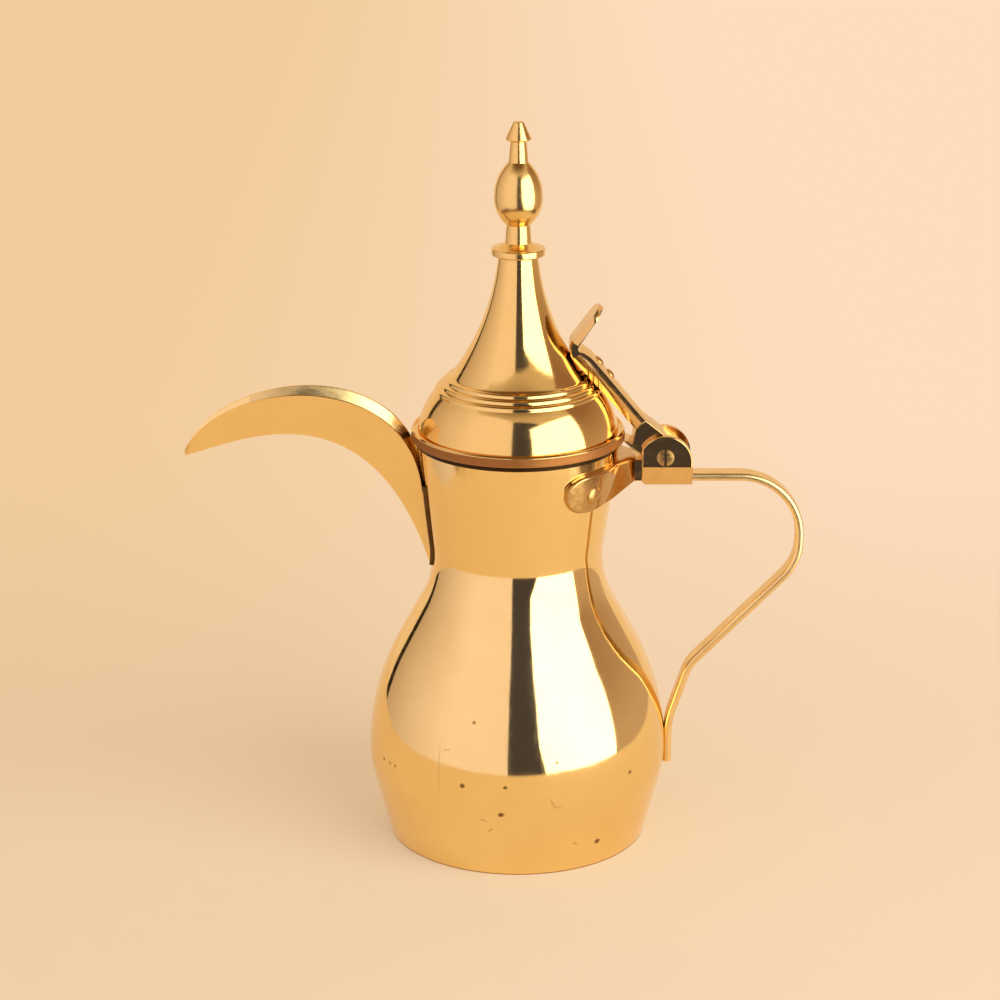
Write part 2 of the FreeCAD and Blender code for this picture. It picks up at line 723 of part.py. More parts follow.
# Lid: a flange with a raised lip, a skirt below it and the spun dome on it
lid_foot = size.neck_height + size.lid_gap
flange_radius = size.mouth_radius + size.flange_overhang
dome_foot_radius = flange_radius - size.flange_lip - size.flange_groove
dome_foot = lid_foot + size.flange_height - size.flange_groove_depth
flange_top = lid_foot + size.flange_height
lid_flange = turned("lid_flange", [
    (dome_foot_radius - size.flange_inner, lid_foot),
    (flange_radius, lid_foot),
    (flange_radius, flange_top - size.flange_bevel),
    (flange_radius - size.flange_bevel, flange_top),
    (flange_radius - size.flange_lip, flange_top),
    (flange_radius - size.flange_lip, dome_foot),
    (dome_foot_radius - size.flange_inner, dome_foot),
])
skirt_radius = size.mouth_radius - size.wall - size.skirt_clearance
lid_skirt = turned("lid_skirt", [
    (skirt_radius - size.lid_wall, lid_foot - size.skirt_depth),
    (skirt_radius, lid_foot - size.skirt_depth),
    (skirt_radius, lid_foot),
    (skirt_radius - size.lid_wall, lid_foot),
])

dome_center_up = dome_foot - size.dome_center_drop
dome_center = dome_foot_radius - root(size.dome_curve ** 2 - size.dome_center_drop ** 2)
inner_curve = size.dome_curve - size.lid_wall
spire_top = lid_foot + size.spire_height


def dome_point(curve, angle):
    return dome_center + curve * cosine(angle), dome_center_up + curve * sine(angle)


dome_outside = [
    (dome_foot_radius, dome_foot),
    ("arc", size.dome_curve, 1),
    dome_point(size.dome_curve, size.crease_angle),
    ("arc", size.spire_curve, -1),
    (size.spire_radius, spire_top),
]
lid_skin = turned("lid_skin", [(0, dome_foot)] + dome_outside + [(0, spire_top)])
dome_spun = turned("dome_spun", dome_outside + [
    (size.tenon_radius, spire_top),
    (size.tenon_radius, spire_top - size.spire_plate),
    (size.spire_radius - size.lid_wall, spire_top - size.spire_plate),
    ("arc", size.spire_curve + size.lid_wall, 1),
    dome_point(inner_curve, size.crease_angle),
    ("arc", inner_curve, -1),
    (dome_center + root(inner_curve ** 2 - size.dome_center_drop ** 2), dome_foot),
])
bead_ring_tools = []
for step in range(3):
    bead_angle = size.bead_first_angle + step * size.bead_step_angle
    bead_across, bead_up = dome_point(size.dome_curve + size.bead_proud - size.bead_radius, bead_angle)
    ring = doc.addObject("Part::Torus", f"bead_ring_{step + 1}")
    ring.setExpression("Radius1", tie(bead_across))
    ring.setExpression("Radius2", tie(size.bead_radius))
    ring.setExpression("Placement.Base.z", tie(bead_up))
    bead_ring_tools.append(ring)
dome_inside = turned("dome_inside", [
    (0, dome_foot),
    (dome_center + root(inner_curve ** 2 - size.dome_center_drop ** 2), dome_foot),
    ("arc", inner_curve, 1),
    dome_point(inner_curve, size.crease_angle),
    (0, dome_point(inner_curve, size.crease_angle)[1]),
])
bead_rings = doc.addObject("Part::MultiFuse", "bead_rings")
bead_rings.Shapes = bead_ring_tools
beads_outside = joined("Part::Cut", "beads_outside", bead_rings, dome_inside)
dome_beaded = joined("Part::Fuse", "dome_beaded", dome_spun, beads_outside)

# Thumb lever: from the knuckle up to the dome, thick and crowned below, flat at the thumb
lever_foot = V(value(pin_across - size.lever_foot_out), 0, value(pin_up + size.lever_foot_up))
bend_across = dome_point(size.dome_curve, size.crease_angle)[0] - size.lever_bend_in
bend_up = lid_foot + size.lever_bend_height
lever_bend = V(value(bend_across), 0, value(bend_up))
leg = lever_bend - lever_foot
leg_length = leg.Length
leg_along = V(leg).normalize()
leg_out = V(leg_along.z, 0, -leg_along.x)
tip_lean = math.radians(value(size.tip_angle))
tip_along = V(math.cos(tip_lean), 0, math.sin(tip_lean))
tip_out = V(tip_along.z, 0, -tip_along.x)


def lever_section(at, out, width, side, crown):
    across = V(0, width / 2, 0)
    low_left, low_right = at - across, at + across
    high_left, high_right = low_left + out * side, low_right + out * side
    return Part.Wire([
        Part.LineSegment(low_left, low_right).toShape(),
        Part.LineSegment(low_right, high_right).toShape(),
        Part.Arc(high_right, at + out * crown, high_left).toShape(),
        Part.LineSegment(high_left, low_left).toShape(),
    ])


bend_half = value(size.bend_half)
tip_length, tip_round = value(size.tip_length), value(size.tip_round)
tip_width, tip_thickness = value(size.tip_width), value(size.tip_thickness)
lever_wires = [
    lever_section(lever_foot, leg_out,
                  value(size.lever_width), value(size.lever_side), value(size.lever_crown)),
    lever_section(lever_bend - leg_along * bend_half, leg_out,
                  value(size.bend_width), value(size.bend_side), value(size.bend_crown)),
    lever_section(lever_bend + tip_along * bend_half, tip_out,
                  value(size.bend_width), tip_thickness, value(size.bend_side)),
]
# The thumb end is a half oval in plan
for turn in (0, 30, 55, 75):
    angle = math.radians(turn)
    reach = tip_length - tip_round + tip_round * math.sin(angle)
    width = tip_width * math.cos(angle)
    lever_wires.append(lever_section(lever_bend + tip_along * reach, tip_out, width,
                                     tip_thickness * 0.75, tip_thickness))
lever_forged = formed("lever_forged", Part.makeLoft(lever_wires, True, True))
lever_on_dome = joined("Part::Cut", "lever_on_dome", lever_forged, lid_skin)
lever_seated = joined("Part::Cut", "lever_seated", lever_on_dome, beads_outside)

# Two rivets through the crown of the lever into the dome
lever_rivet_solids = []
lever_hole_solids = []
for step in range(2):
    along = value(size.lever_rivet_first) + step * value(size.lever_rivet_step)
    share = along / (leg_length - bend_half)
    crown = value(size.lever_crown) + share * value(size.bend_crown - size.lever_crown)
    seat = lever_foot + leg_along * along + leg_out * crown
    length = crown + value(size.lever_rivet_tail)
    place = FreeCAD.Placement(seat, FreeCAD.Rotation(V(0, 0, 1), leg_out))
    solid = rivet(value(size.lever_rivet_head), value(size.lever_rivet_shank),
                  value(size.rivet_head_rise), length)
    solid.Placement = place
    hole = Part.makeCylinder(value(size.lever_rivet_shank), length + crown, V(0, 0, -length))
    hole.Placement = place
    lever_rivet_solids.append(solid)
    lever_hole_solids.append(hole)
rivets_whole = formed("rivets_whole", Part.Compound(lever_rivet_solids))
lever_holes = formed("lever_holes", Part.Compound(lever_hole_solids))
thumb_lever = joined("Part::Cut", "thumb_lever", lever_seated, lever_holes)
lever_rivets = joined("Part::Cut", "lever_rivets", rivets_whole, thumb_lever)
lid_dome = joined("Part::Cut", "lid_dome", dome_beaded, lever_holes)

# Knuckle: arm under the flange, seat for the lever and barrel on the pin
foot_across_lever = pin_across - size.lever_foot_out
foot_up_lever = pin_up + size.lever_foot_up
leg_span = root((bend_across - foot_across_lever) ** 2 + (bend_up - foot_up_lever) ** 2)
crown_across = foot_across_lever + size.lever_crown * (bend_up - foot_up_lever) / leg_span
crown_up = foot_up_lever + size.lever_crown * (foot_across_lever - bend_across) / leg_span
lid_hinge_knuckle = padded("lid_hinge_knuckle", "XZ_Plane", [
    (flange_radius - size.flange_lip, lid_foot),
    (flange_radius + size.knuckle_heel_out, lid_foot - size.knuckle_heel_drop),
    (pin_across + size.barrel_radius * cosine(size.knuckle_heel_angle),
     pin_up + size.barrel_radius * sine(size.knuckle_heel_angle)),
    ("arc", size.barrel_radius, 1),
    (pin_across + size.barrel_radius * cosine(size.knuckle_top_angle),
     pin_up + size.barrel_radius * sine(size.knuckle_top_angle)),
    (crown_across, crown_up),
    (foot_across_lever, foot_up_lever),
    (flange_radius + size.knuckle_notch_out, lid_foot - size.knuckle_notch_drop),
    (flange_radius, lid_foot),
], size.knuckle_width)
bored(lid_hinge_knuckle, "knuckle_bore", "XZ_Plane", pin_across, pin_up, size.pin_radius + size.pin_clearance,
      2 * size.knuckle_width)

# Finial: collar, turned knob and cap, stacked on the spire
collar_top = spire_top + size.finial_collar_height
finial_collar = turned("finial_collar", [
    (size.tenon_radius, spire_top),
    (size.finial_collar_radius, spire_top, size.finial_collar_round),
    (size.finial_collar_radius, spire_top + size.finial_collar_rim, size.finial_collar_round),
    (size.finial_collar_radius - 2 * size.finial_collar_round, spire_top + size.finial_collar_rim),
    ("arc", size.finial_collar_sweep, -1),
    (size.stem_low_radius, collar_top),
    (size.tenon_radius, collar_top),
])
bulb_foot = collar_top + size.stem_length
bulb_middle = bulb_foot + size.bulb_low_length
bulb_top = bulb_middle + size.bulb_high_length
cap_foot = bulb_top + size.neck_length
finial_knob = turned("finial_knob", [
    (0, spire_top - size.spire_plate - size.tenon_tail),
    (size.tenon_radius, spire_top - size.spire_plate - size.tenon_tail),
    (size.tenon_radius, collar_top),
    (size.stem_low_radius, collar_top),
    (size.stem_high_radius, bulb_foot),
    (size.bulb_foot_radius, bulb_foot),
    ("arc", size.bulb_low_curve, 1),
    (size.bulb_radius, bulb_middle),
    ("arc", size.bulb_high_curve, 1),
    (size.neck_low_radius, bulb_top),
    (size.neck_high_radius, cap_foot),
    (size.spigot_radius, cap_foot),
    (size.spigot_radius, cap_foot + size.spigot_length),
    (0, cap_foot + size.spigot_length),
])
finial_cap = turned("finial_cap", [
    (size.spigot_radius, cap_foot),
    (size.cap_radius - size.cap_edge, cap_foot),
    (size.cap_radius, cap_foot + size.cap_edge),
    (size.cap_top_radius, cap_foot + size.cap_length),
    (0, cap_foot + size.cap_length),
    (0, cap_foot + size.spigot_length),
    (size.spigot_radius, cap_foot + size.spigot_length),
])

nodes = [
    belly_shell, base_plate, neck_shell, spout_beak, spout_solder_seam,
    neck_saddle, saddle_rivets, hinge_fork, hinge_pin, handle_strap,
    lid_flange, lid_skirt, lid_dome, lid_hinge_knuckle, thumb_lever, lever_rivets,
    finial_collar, finial_knob, finial_cap,
]
doc.recompute()
for item in doc.Objects:
    if "Invalid" in item.State or "Error" in item.State:
        raise RuntimeError(f"{item.Label} failed: {item.State}")
for node in nodes:
    if node.Shape.isNull() or not node.Shape.isValid() or not node.Shape.Solids:
        raise RuntimeError(f"{node.Label} has no valid solid")

os.makedirs("parts", exist_ok=True)
for node in nodes:
    node.Shape.exportStep(f"parts/{node.Label}.step")
    print(f"{node.Label}: {len(node.Shape.Solids)} solid, {node.Shape.Volume:.1f} mm3")
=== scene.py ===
import json
from contextlib import contextmanager
from math import acos, asin, atan2, ceil, copysign, cos, degrees, hypot, pi, radians, sin, sqrt, tan, tau
from types import SimpleNamespace
import bmesh
import bpy
from mathutils import Matrix, Vector


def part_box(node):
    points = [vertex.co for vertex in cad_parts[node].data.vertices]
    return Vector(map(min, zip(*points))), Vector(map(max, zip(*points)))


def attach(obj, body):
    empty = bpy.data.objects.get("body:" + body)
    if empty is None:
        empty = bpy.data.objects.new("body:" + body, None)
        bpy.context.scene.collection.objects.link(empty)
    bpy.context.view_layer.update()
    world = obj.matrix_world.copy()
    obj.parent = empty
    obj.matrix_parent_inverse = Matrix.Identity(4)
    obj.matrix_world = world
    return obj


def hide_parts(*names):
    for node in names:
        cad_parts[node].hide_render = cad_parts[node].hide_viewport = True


# Brass dallah coffee pot. Sizes in the dictionaries are millimetres, in the CAD frame
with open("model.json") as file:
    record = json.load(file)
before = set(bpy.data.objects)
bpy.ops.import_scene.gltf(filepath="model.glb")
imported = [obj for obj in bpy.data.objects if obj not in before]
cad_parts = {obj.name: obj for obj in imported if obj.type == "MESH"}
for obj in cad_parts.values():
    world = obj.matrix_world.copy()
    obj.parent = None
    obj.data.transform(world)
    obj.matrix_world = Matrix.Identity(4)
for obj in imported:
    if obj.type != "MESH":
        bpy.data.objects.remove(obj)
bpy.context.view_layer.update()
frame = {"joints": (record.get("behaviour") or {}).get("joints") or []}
mm = 0.001
weld = 1e-7  # metres, points nearer than this are one
pin = Vector(frame["joints"][0]["pos_m"]) / mm  # lid hinge axis, along Y
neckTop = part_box("neck_shell")[1].z / mm
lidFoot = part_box("lid_flange")[0].z / mm
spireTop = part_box("finial_collar")[0].z / mm
print("frame loaded")


# Linear colour of an sRGB hex value
def linear(hexColor):
    channels = [int(hexColor[at:at + 2], 16) / 255 for at in (1, 3, 5)]
    return [c / 12.92 if c <= 0.04045 else ((c + 0.055) / 1.055) ** 2.4 for c in channels] + [1.0]


# Inputs are values, sockets, or nodes that stand for their first output
def addNode(tree, kind, inputs=None, **settings):
    node = tree.nodes.new(kind)
    for key, setting in settings.items():
        setattr(node, key, setting)
    for key, source in (inputs or {}).items():
        if isinstance(source, bpy.types.Node):
            source = source.outputs[0]
        if isinstance(source, bpy.types.NodeSocket):
            tree.links.new(source, node.inputs[key])
        else:
            node.inputs[key].default_value = source
    return node


# How haze and marks are drawn: the widths are as coarse as they need to show
drawnSizes = {
    "streakWidth": 1.5, "hazeLow": 0.3, "hazeHigh": 0.75, "tearWidth": 0.8, "tear": 0.9, "markEdge": 1.7,
    "markFull": 1.05, "markTone": "#7C5628", "markDulling": 0.35}
drawn = SimpleNamespace(**drawnSizes)


# Brass shows what stands round it: warm gold patched with tarnish, soft waves and faint buffing haze.
# Marks are (azimuth, height, width, length, lean, depth of tone) on a wall of the given radius
def makeBrass(name, finish, marks=(), radius=0):
    look = SimpleNamespace(**finish)
    material = bpy.data.materials.new(name)
    material.use_nodes = True
    tree = material.node_tree
    shader = tree.nodes["Principled BSDF"]
    shader.inputs["Metallic"].default_value = 1.0
    place = addNode(tree, "ShaderNodeTexCoord").outputs["Object"]
    patches = addNode(tree, "ShaderNodeTexNoise", {
        "Vector": place, "Scale": 1 / (look.patch * mm), "Detail": 4.0, "Roughness": 0.6})
    color = addNode(tree, "ShaderNodeMix", {
        "Factor": patches, 6: linear(look.color), 7: linear(look.tarnish)}, data_type="RGBA").outputs[2]
    streaks = addNode(tree, "ShaderNodeMapping", {"Vector": place, "Scale": look.streak})
    haze = addNode(tree, "ShaderNodeTexNoise", {
        "Vector": streaks, "Scale": 1 / (drawn.streakWidth * mm), "Detail": 3.0})
    roughness = addNode(tree, "ShaderNodeMapRange", {
        "Value": haze, "From Min": drawn.hazeLow, "From Max": drawn.hazeHigh,
        "To Min": look.roughLow, "To Max": look.roughHigh})
    if marks:
        spot = addNode(tree, "ShaderNodeSeparateXYZ", {0: place}).outputs
        azimuth = addNode(tree, "ShaderNodeMath", {0: spot["Y"], 1: spot["X"]}, operation="ARCTAN2")
        around = addNode(tree, "ShaderNodeMath", {0: azimuth, 1: radius * mm}, operation="MULTIPLY")
        wall = addNode(tree, "ShaderNodeCombineXYZ", {0: around, 1: spot["Z"]})
        ragged = addNode(tree, "ShaderNodeTexNoise", {
            "Vector": place, "Scale": 1 / (drawn.tearWidth * mm), "Detail": 2.0})
        soil = 0.0
        for angle, up, wide, tall, lean, depth in marks:
            local = addNode(tree, "ShaderNodeMapping", {
                "Vector": wall, "Location": (radians(angle) * radius * mm, up * mm, 0),
                "Rotation": (0, 0, radians(lean)), "Scale": (wide / 2 * mm, tall / 2 * mm, 1)},
                vector_type="TEXTURE")
            away = addNode(tree, "ShaderNodeVectorMath", {0: local}, operation="LENGTH").outputs["Value"]
            torn = addNode(tree, "ShaderNodeMath", {
                0: ragged, 1: drawn.tear, 2: away}, operation="MULTIPLY_ADD")
            inside = addNode(tree, "ShaderNodeMapRange", {
                "Value": torn, "From Min": drawn.markEdge, "From Max": drawn.markFull,
                "To Min": 0.0, "To Max": depth})
            soil = addNode(tree, "ShaderNodeMath", {0: inside, 1: soil}, operation="MAXIMUM")
        color = addNode(tree, "ShaderNodeMix", {
            "Factor": soil, 6: color, 7: linear(drawn.markTone)}, data_type="RGBA").outputs[2]
        roughness = addNode(tree, "ShaderNodeMath", {
            0: soil, 1: drawn.markDulling, 2: roughness}, operation="MULTIPLY_ADD")
    waves = addNode(tree, "ShaderNodeTexNoise", {
        "Vector": place, "Scale": 1 / (look.wave * mm), "Detail": 1.0})
    bump = addNode(tree, "ShaderNodeBump", {
        "Height": waves, "Distance": look.waveHeight * mm, "Strength": 1.0})
    grain = addNode(tree, "ShaderNodeBump", {
        "Height": haze, "Distance": look.grainHeight * mm, "Strength": 1.0, "Normal": bump})
    tree.links.new(color, shader.inputs["Base Color"])
    tree.links.new(roughness.outputs[0], shader.inputs["Roughness"])
    tree.links.new(grain.outputs[0], shader.inputs["Normal"])
    return material


# Planished sheet: pale gold, nearly a mirror that waves softly. Brushed inside the fold it only glows
sheetFinish = {
    "color": "#FFE39E", "tarnish": "#F2CC84", "patch": 34, "streak": (1.0, 1.0, 0.12), "roughLow": 0.05,
    "roughHigh": 0.11, "wave": 26, "waveHeight": 0.14, "grainHeight": 0.0006}
foldFinish = dict(sheetFinish, roughLow=0.2, roughHigh=0.34, streak=(0.15, 1.0, 0.4))
# Turned: deeper gold with still reflections, blurred where buffed by hand, and a rough brown copy that paints
# shade and a dim reflection
turnedFinish = dict(
    sheetFinish, color="#F9D68A", tarnish="#EFC374", patch=16, streak=(0.12, 0.12, 2.0), wave=18,
    waveHeight=0.02, roughLow=0.07, roughHigh=0.14)
finialFinish = dict(turnedFinish, roughLow=0.15, roughHigh=0.23)
# rough brown copy: painted contact shadow at the belly's foot and a painted dim reflection on the lid
# flange's face
shadeBrownFinish = dict(turnedFinish, color="#B07844", tarnish="#966332", patch=5, roughLow=0.48, roughHigh=0.62)
# Cast and filed: softened reflections, a browner copy for the saddle, smeared where brushed
castFinish = dict(
    sheetFinish, color="#F2CC86", tarnish="#D9AC66", patch=9, streak=(0.3, 1.0, 1.0), roughLow=0.08,
    roughHigh=0.2, wave=9, waveHeight=0.015, grainHeight=0.0008)
# the saddle's brass is simply a darker, browner tone of the cast brass
saddleFinish = dict(castFinish, color="#DDB878", tarnish="#B98F56")
hardwareFinish = dict(castFinish, color="#DDB26C", tarnish="#AE844C", patch=4, roughLow=0.2, roughHigh=0.36)
strapFinish = dict(
    castFinish, color="#FFE2A4", tarnish="#E8C07C", roughLow=0.27, roughHigh=0.33, grainHeight=0.0003,
    streak=(0.25, 1.0, 0.25))
# Solder: dark lines with hardly a highlight. After it, a darker copy that paints the shade in the gap under
# the lid flange
solderFinish = dict(
    castFinish, color="#75552E", tarnish="#3E2C18", patch=5, roughLow=0.3, roughHigh=0.55, waveHeight=0.08)
gapShadeFinish = dict(solderFinish, color="#4A331B", tarnish="#281B0F")
planishedBrass = makeBrass("planished sheet brass, polished", sheetFinish)
foldedBrass = makeBrass("folded sheet brass, brushed inside", foldFinish)
turnedBrass = makeBrass("spun and turned brass, polished", turnedFinish)
finialBrass = makeBrass("turned brass, buffed by hand", finialFinish)
shadeBrownBrass = makeBrass("turned brass painted brown for shade and a dim reflection", shadeBrownFinish)
castBrass = makeBrass("cast brass, filed and buffed", castFinish)
saddleBrass = makeBrass("cast brass, darker tone", saddleFinish)
hardwareBrass = makeBrass("drawn brass hardware, dull", hardwareFinish)
strapBrass = makeBrass("strap and lever brass, brushed", strapFinish)
darkSolder = makeBrass("tarnished solder", solderFinish)
# painted shade: nearly black brass for the neck's top band under the lid flange
gapShadeBrass = makeBrass("painted shade in the gap under the lid flange", gapShadeFinish)
print("materials ready")


# Points along an arc, its centre on the left of the run for side 1
def arcPoints(start, finish, radius, side, stepAngle=2.5):
    chord = finish - start
    left = Vector((-chord.y, chord.x)).normalized()
    center = (start + finish) / 2 + left * side * sqrt(max(radius ** 2 - (chord.length / 2) ** 2, 0))
    begin = atan2(start.y - center.y, start.x - center.x)
    sweep = 2 * asin(min(1, chord.length / 2 / radius)) * side
    count = max(2, ceil(abs(degrees(sweep)) / stepAngle))
    turns = [begin + sweep * at / count for at in range(count + 1)]
    return [center + Vector((cos(t), sin(t))) * radius for t in turns]


# Closed outline from corners (across, up) or (across, up, round), with ("arc", radius, side) runs between
def outlinePoints(entries):
    corners = [entry for entry in entries if entry[0] != "arc"]
    bends = {}
    for at, entry in enumerate(entries):
        if entry[0] == "arc":
            bends[len([other for other in entries[:at] if other[0] != "arc"]) - 1] = entry[1:]
    places = [Vector(corner[:2]) for corner in corners]
    points = []
    for at, corner in enumerate(corners):
        follow = places[(at + 1) % len(places)]
        if len(corner) > 2:
            incoming = (places[at] - places[at - 1]).normalized()
            outgoing = (follow - places[at]).normalized()
            side = 1 if incoming.x * outgoing.y - incoming.y * outgoing.x > 0 else -1
            radius = corner[2] / tan(incoming.angle(outgoing) / 2)
            start, finish = places[at] - incoming * corner[2], places[at] + outgoing * corner[2]
            points += arcPoints(start, finish, radius, side)
        else:
            points.append(places[at])
        if at in bends:
            points += arcPoints(places[at], follow, bends[at][0], bends[at][1])[1:-1]
    return points


def rectangle(left, right, low, high):
    return [(left, low), (right, low), (right, high), (left, high)]


def ovalPoints(across, up, count):
    turns = [tau * at / count for at in range(count)]
    return [(across * cos(turn), up * sin(turn)) for turn in turns]


def ringEdges(count):
    return [(at, (at + 1) % count) for at in range(count)]


# Faces between neighbouring rows of points, closed from last row to first, or round each row
def rowFaces(rows, length, closedRows=False, closedRing=False):
    faces = []
    for row in range(rows if closedRows else rows - 1):
        near, far = row * length, (row + 1) % rows * length
        for at in range(length if closedRing else length - 1):
            follow = (at + 1) % length
            faces.append((near + at, near + follow, far + follow, far + at))
    return faces


def paint(piece, *materials):
    for material in materials:
        piece.data.materials.append(material)


def newObject(name, content):
    piece = bpy.data.objects.new(name, content)
    bpy.context.scene.collection.objects.link(piece)
    return piece


def meshObject(name, verts, edges=(), faces=()):
    mesh = bpy.data.meshes.new(name)
    mesh.from_pydata(verts, edges, faces)
    return newObject(name, mesh)


# The mesh of a piece, open for changes that are then written back
@contextmanager
def opened(piece):
    work = bmesh.new()
    work.from_mesh(piece.data)
    yield work
    work.to_mesh(piece.data)
    work.free()


# Doubles merged, normals out, smooth apart from edges sharper than the angle
def tidyMesh(piece, sharpAngle=32, doubles=weld):
    with opened(piece) as work:
        bmesh.ops.remove_doubles(work, verts=work.verts, dist=doubles)
        bmesh.ops.recalc_face_normals(work, faces=work.faces)
        for face in work.faces:
            face.smooth = True
        for edge in work.edges:
            edge.smooth = not edge.is_manifold or edge.calc_face_angle() < radians(sharpAngle)
    return piece


def keepModified(piece):
    bpy.context.view_layer.update()
    evaluated = piece.evaluated_get(bpy.context.evaluated_depsgraph_get())
    mesh = bpy.data.meshes.new_from_object(evaluated)
    piece.modifiers.clear()
    piece.data = mesh


# Second material on the outer, nearly upright faces between two heights
def band(piece, material, low, high, radius, tilt=0.5):
    paint(piece, material)
    for face in piece.data.polygons:
        outside = hypot(face.center.x, face.center.y) > radius * mm
        if outside and low * mm < face.center.z < high * mm and abs(face.normal.z) < tilt:
            face.material_index = len(piece.data.materials) - 1


def dress(piece, body, node, material=None):
    if material:
        paint(piece, material)
    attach(piece, body)
    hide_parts(node)


def newTree(name, sockets):
    tree = bpy.data.node_groups.new(name, "GeometryNodeTree")
    for label, kind in {"Geometry": "NodeSocketGeometry", **sockets}.items():
        tree.interface.new_socket(label, in_out="INPUT", socket_type=kind)
    tree.interface.new_socket("Geometry", in_out="OUTPUT", socket_type="NodeSocketGeometry")
    return tree, addNode(tree, "NodeGroupInput").outputs


def endTree(tree, geometry, finish):
    real = addNode(tree, "GeometryNodeRealizeInstances", {0: geometry})
    finished = addNode(tree, "GeometryNodeSetMaterial", {0: real, "Material": finish})
    addNode(tree, "NodeGroupOutput", {0: finished})


def runTree(piece, tree, settings):
    modifier = piece.modifiers.new(tree.name, "NODES")
    modifier.node_group = tree
    for item in tree.interface.items_tree:
        if item.in_out == "INPUT" and item.name in settings:
            modifier[item.identifier] = settings[item.name]
    keepModified(piece)


# Lathe: an outline of (radius, height) is swept round a small circle on the pot's axis
mandrelRadius = 1.0
latheTree, latheIn = newTree("lathe", {
    "Segments": "NodeSocketInt", "Mandrel": "NodeSocketFloat", "Finish": "NodeSocketMaterial"})
latheProfile = addNode(latheTree, "GeometryNodeMeshToCurve", {0: latheIn["Geometry"]})
mandrel = addNode(latheTree, "GeometryNodeCurvePrimitiveCircle", {
    "Resolution": latheIn["Segments"], "Radius": latheIn["Mandrel"]})
spun = addNode(latheTree, "GeometryNodeCurveToMesh", {0: mandrel, 1: latheProfile})
closedPoles = addNode(latheTree, "GeometryNodeMergeByDistance", {0: spun, "Distance": 1e-6})
endTree(latheTree, closedPoles, latheIn["Finish"])


def turned(name, corners, material, segments=192):
    rim = [((r - mandrelRadius) * mm, -z * mm, 0) for r, z in outlinePoints(corners)]
    piece = meshObject(name, rim, ringEdges(len(rim)))
    runTree(piece, latheTree, {"Segments": segments, "Mandrel": mandrelRadius * mm, "Finish": material})
    with opened(piece) as work:
        # what folds to nothing on the axis goes
        bmesh.ops.dissolve_degenerate(work, edges=work.edges, dist=weld)
    return tidyMesh(piece)


# Sweep: a flat profile follows a line, its width level with Y
sweepTree, sweepIn = newTree("sweep", {"Profile": "NodeSocketObject", "Finish": "NodeSocketMaterial"})
sweepPath = addNode(sweepTree, "GeometryNodeMeshToCurve", {0: sweepIn["Geometry"]})
sweepShape = addNode(sweepTree, "GeometryNodeObjectInfo", {"Object": sweepIn["Profile"]})
sweepRim = addNode(sweepTree, "GeometryNodeMeshToCurve", {0: sweepShape.outputs["Geometry"]})
swept = addNode(sweepTree, "GeometryNodeCurveToMesh", {0: sweepPath, 1: sweepRim, "Fill Caps": True})
endTree(sweepTree, swept, sweepIn["Finish"])


def sweptAlong(name, path, profile, material):
    rim = meshObject(name + "Rim", [(x * mm, y * mm, 0) for x, y in profile], ringEdges(len(profile)))
    steps = [(at, at + 1) for at in range(len(path) - 1)]
    piece = meshObject(name, [tuple(c * mm for c in place) for place in path], steps)
    runTree(piece, sweepTree, {"Profile": rim, "Finish": material})
    bpy.data.objects.remove(rim)
    return tidyMesh(piece)


# Plate or block: an outline in XZ given a width along Y, its rims rounded
def cutFromPlate(name, outline, low, high, edgeRound=0):
    work = bmesh.new()
    rim = [work.verts.new((x * mm, low * mm, z * mm)) for x, z in outline]
    face = work.faces.new(rim)
    made = bmesh.ops.extrude_face_region(work, geom=[face])
    for vert in made["geom"]:
        if isinstance(vert, bmesh.types.BMVert):
            vert.co.y = high * mm
    bmesh.ops.recalc_face_normals(work, faces=work.faces)
    if edgeRound:
        rims = [edge for edge in work.edges if abs(edge.verts[0].co.y - edge.verts[1].co.y) < 1e-9]
        bmesh.ops.bevel(work, geom=rims, offset=edgeRound * mm, segments=3, profile=0.5, affect="EDGES")
    mesh = bpy.data.meshes.new(name)
    work.to_mesh(mesh)
    work.free()
    return newObject(name, mesh)


def weightNormals(piece, sharpAngle=50):
    tidyMesh(piece, sharpAngle)
    piece.modifiers.new("weighted", "WEIGHTED_NORMAL").keep_sharp = True
    keepModified(piece)


def carve(piece, cutter, operation="DIFFERENCE"):
    change = piece.modifiers.new("carve", "BOOLEAN")
    change.operation = operation
    change.object = cutter
    change.solver = "EXACT"
    keepModified(piece)
    bpy.data.objects.remove(cutter)


# Split at a height. With cutOff, what hangs below goes and the cut is closed
def splitLevel(work, height, cutOff=False):
    everything = work.verts[:] + work.edges[:] + work.faces[:]
    cut = bmesh.ops.bisect_plane(
        work, geom=everything, plane_co=(0, 0, height * mm), plane_no=(0, 0, 1), clear_inner=cutOff)
    if cutOff:
        rims = [part for part in cut["geom_cut"] if isinstance(part, bmesh.types.BMEdge)]
        bmesh.ops.holes_fill(work, edges=rims)


# Belly and neck
potSizes = {
    "base": 53.5, "belly": 61.8, "lowCorner": 31.5, "lowRound": 4.0, "highCorner": 62.0, "highRound": 26.0,
    "waist": 33.5, "waistHeight": 113.3, "waistRound": 13.0, "mouth": 41.8, "wall": 1.3, "seam": 95.8,
    "lap": 3.5, "baseThickness": 1.5, "edge": 0.35, "gapLine": 1.9, "footLine": 0.6, "skin": 1.0,
    "segments": 256}
pot = SimpleNamespace(**potSizes)
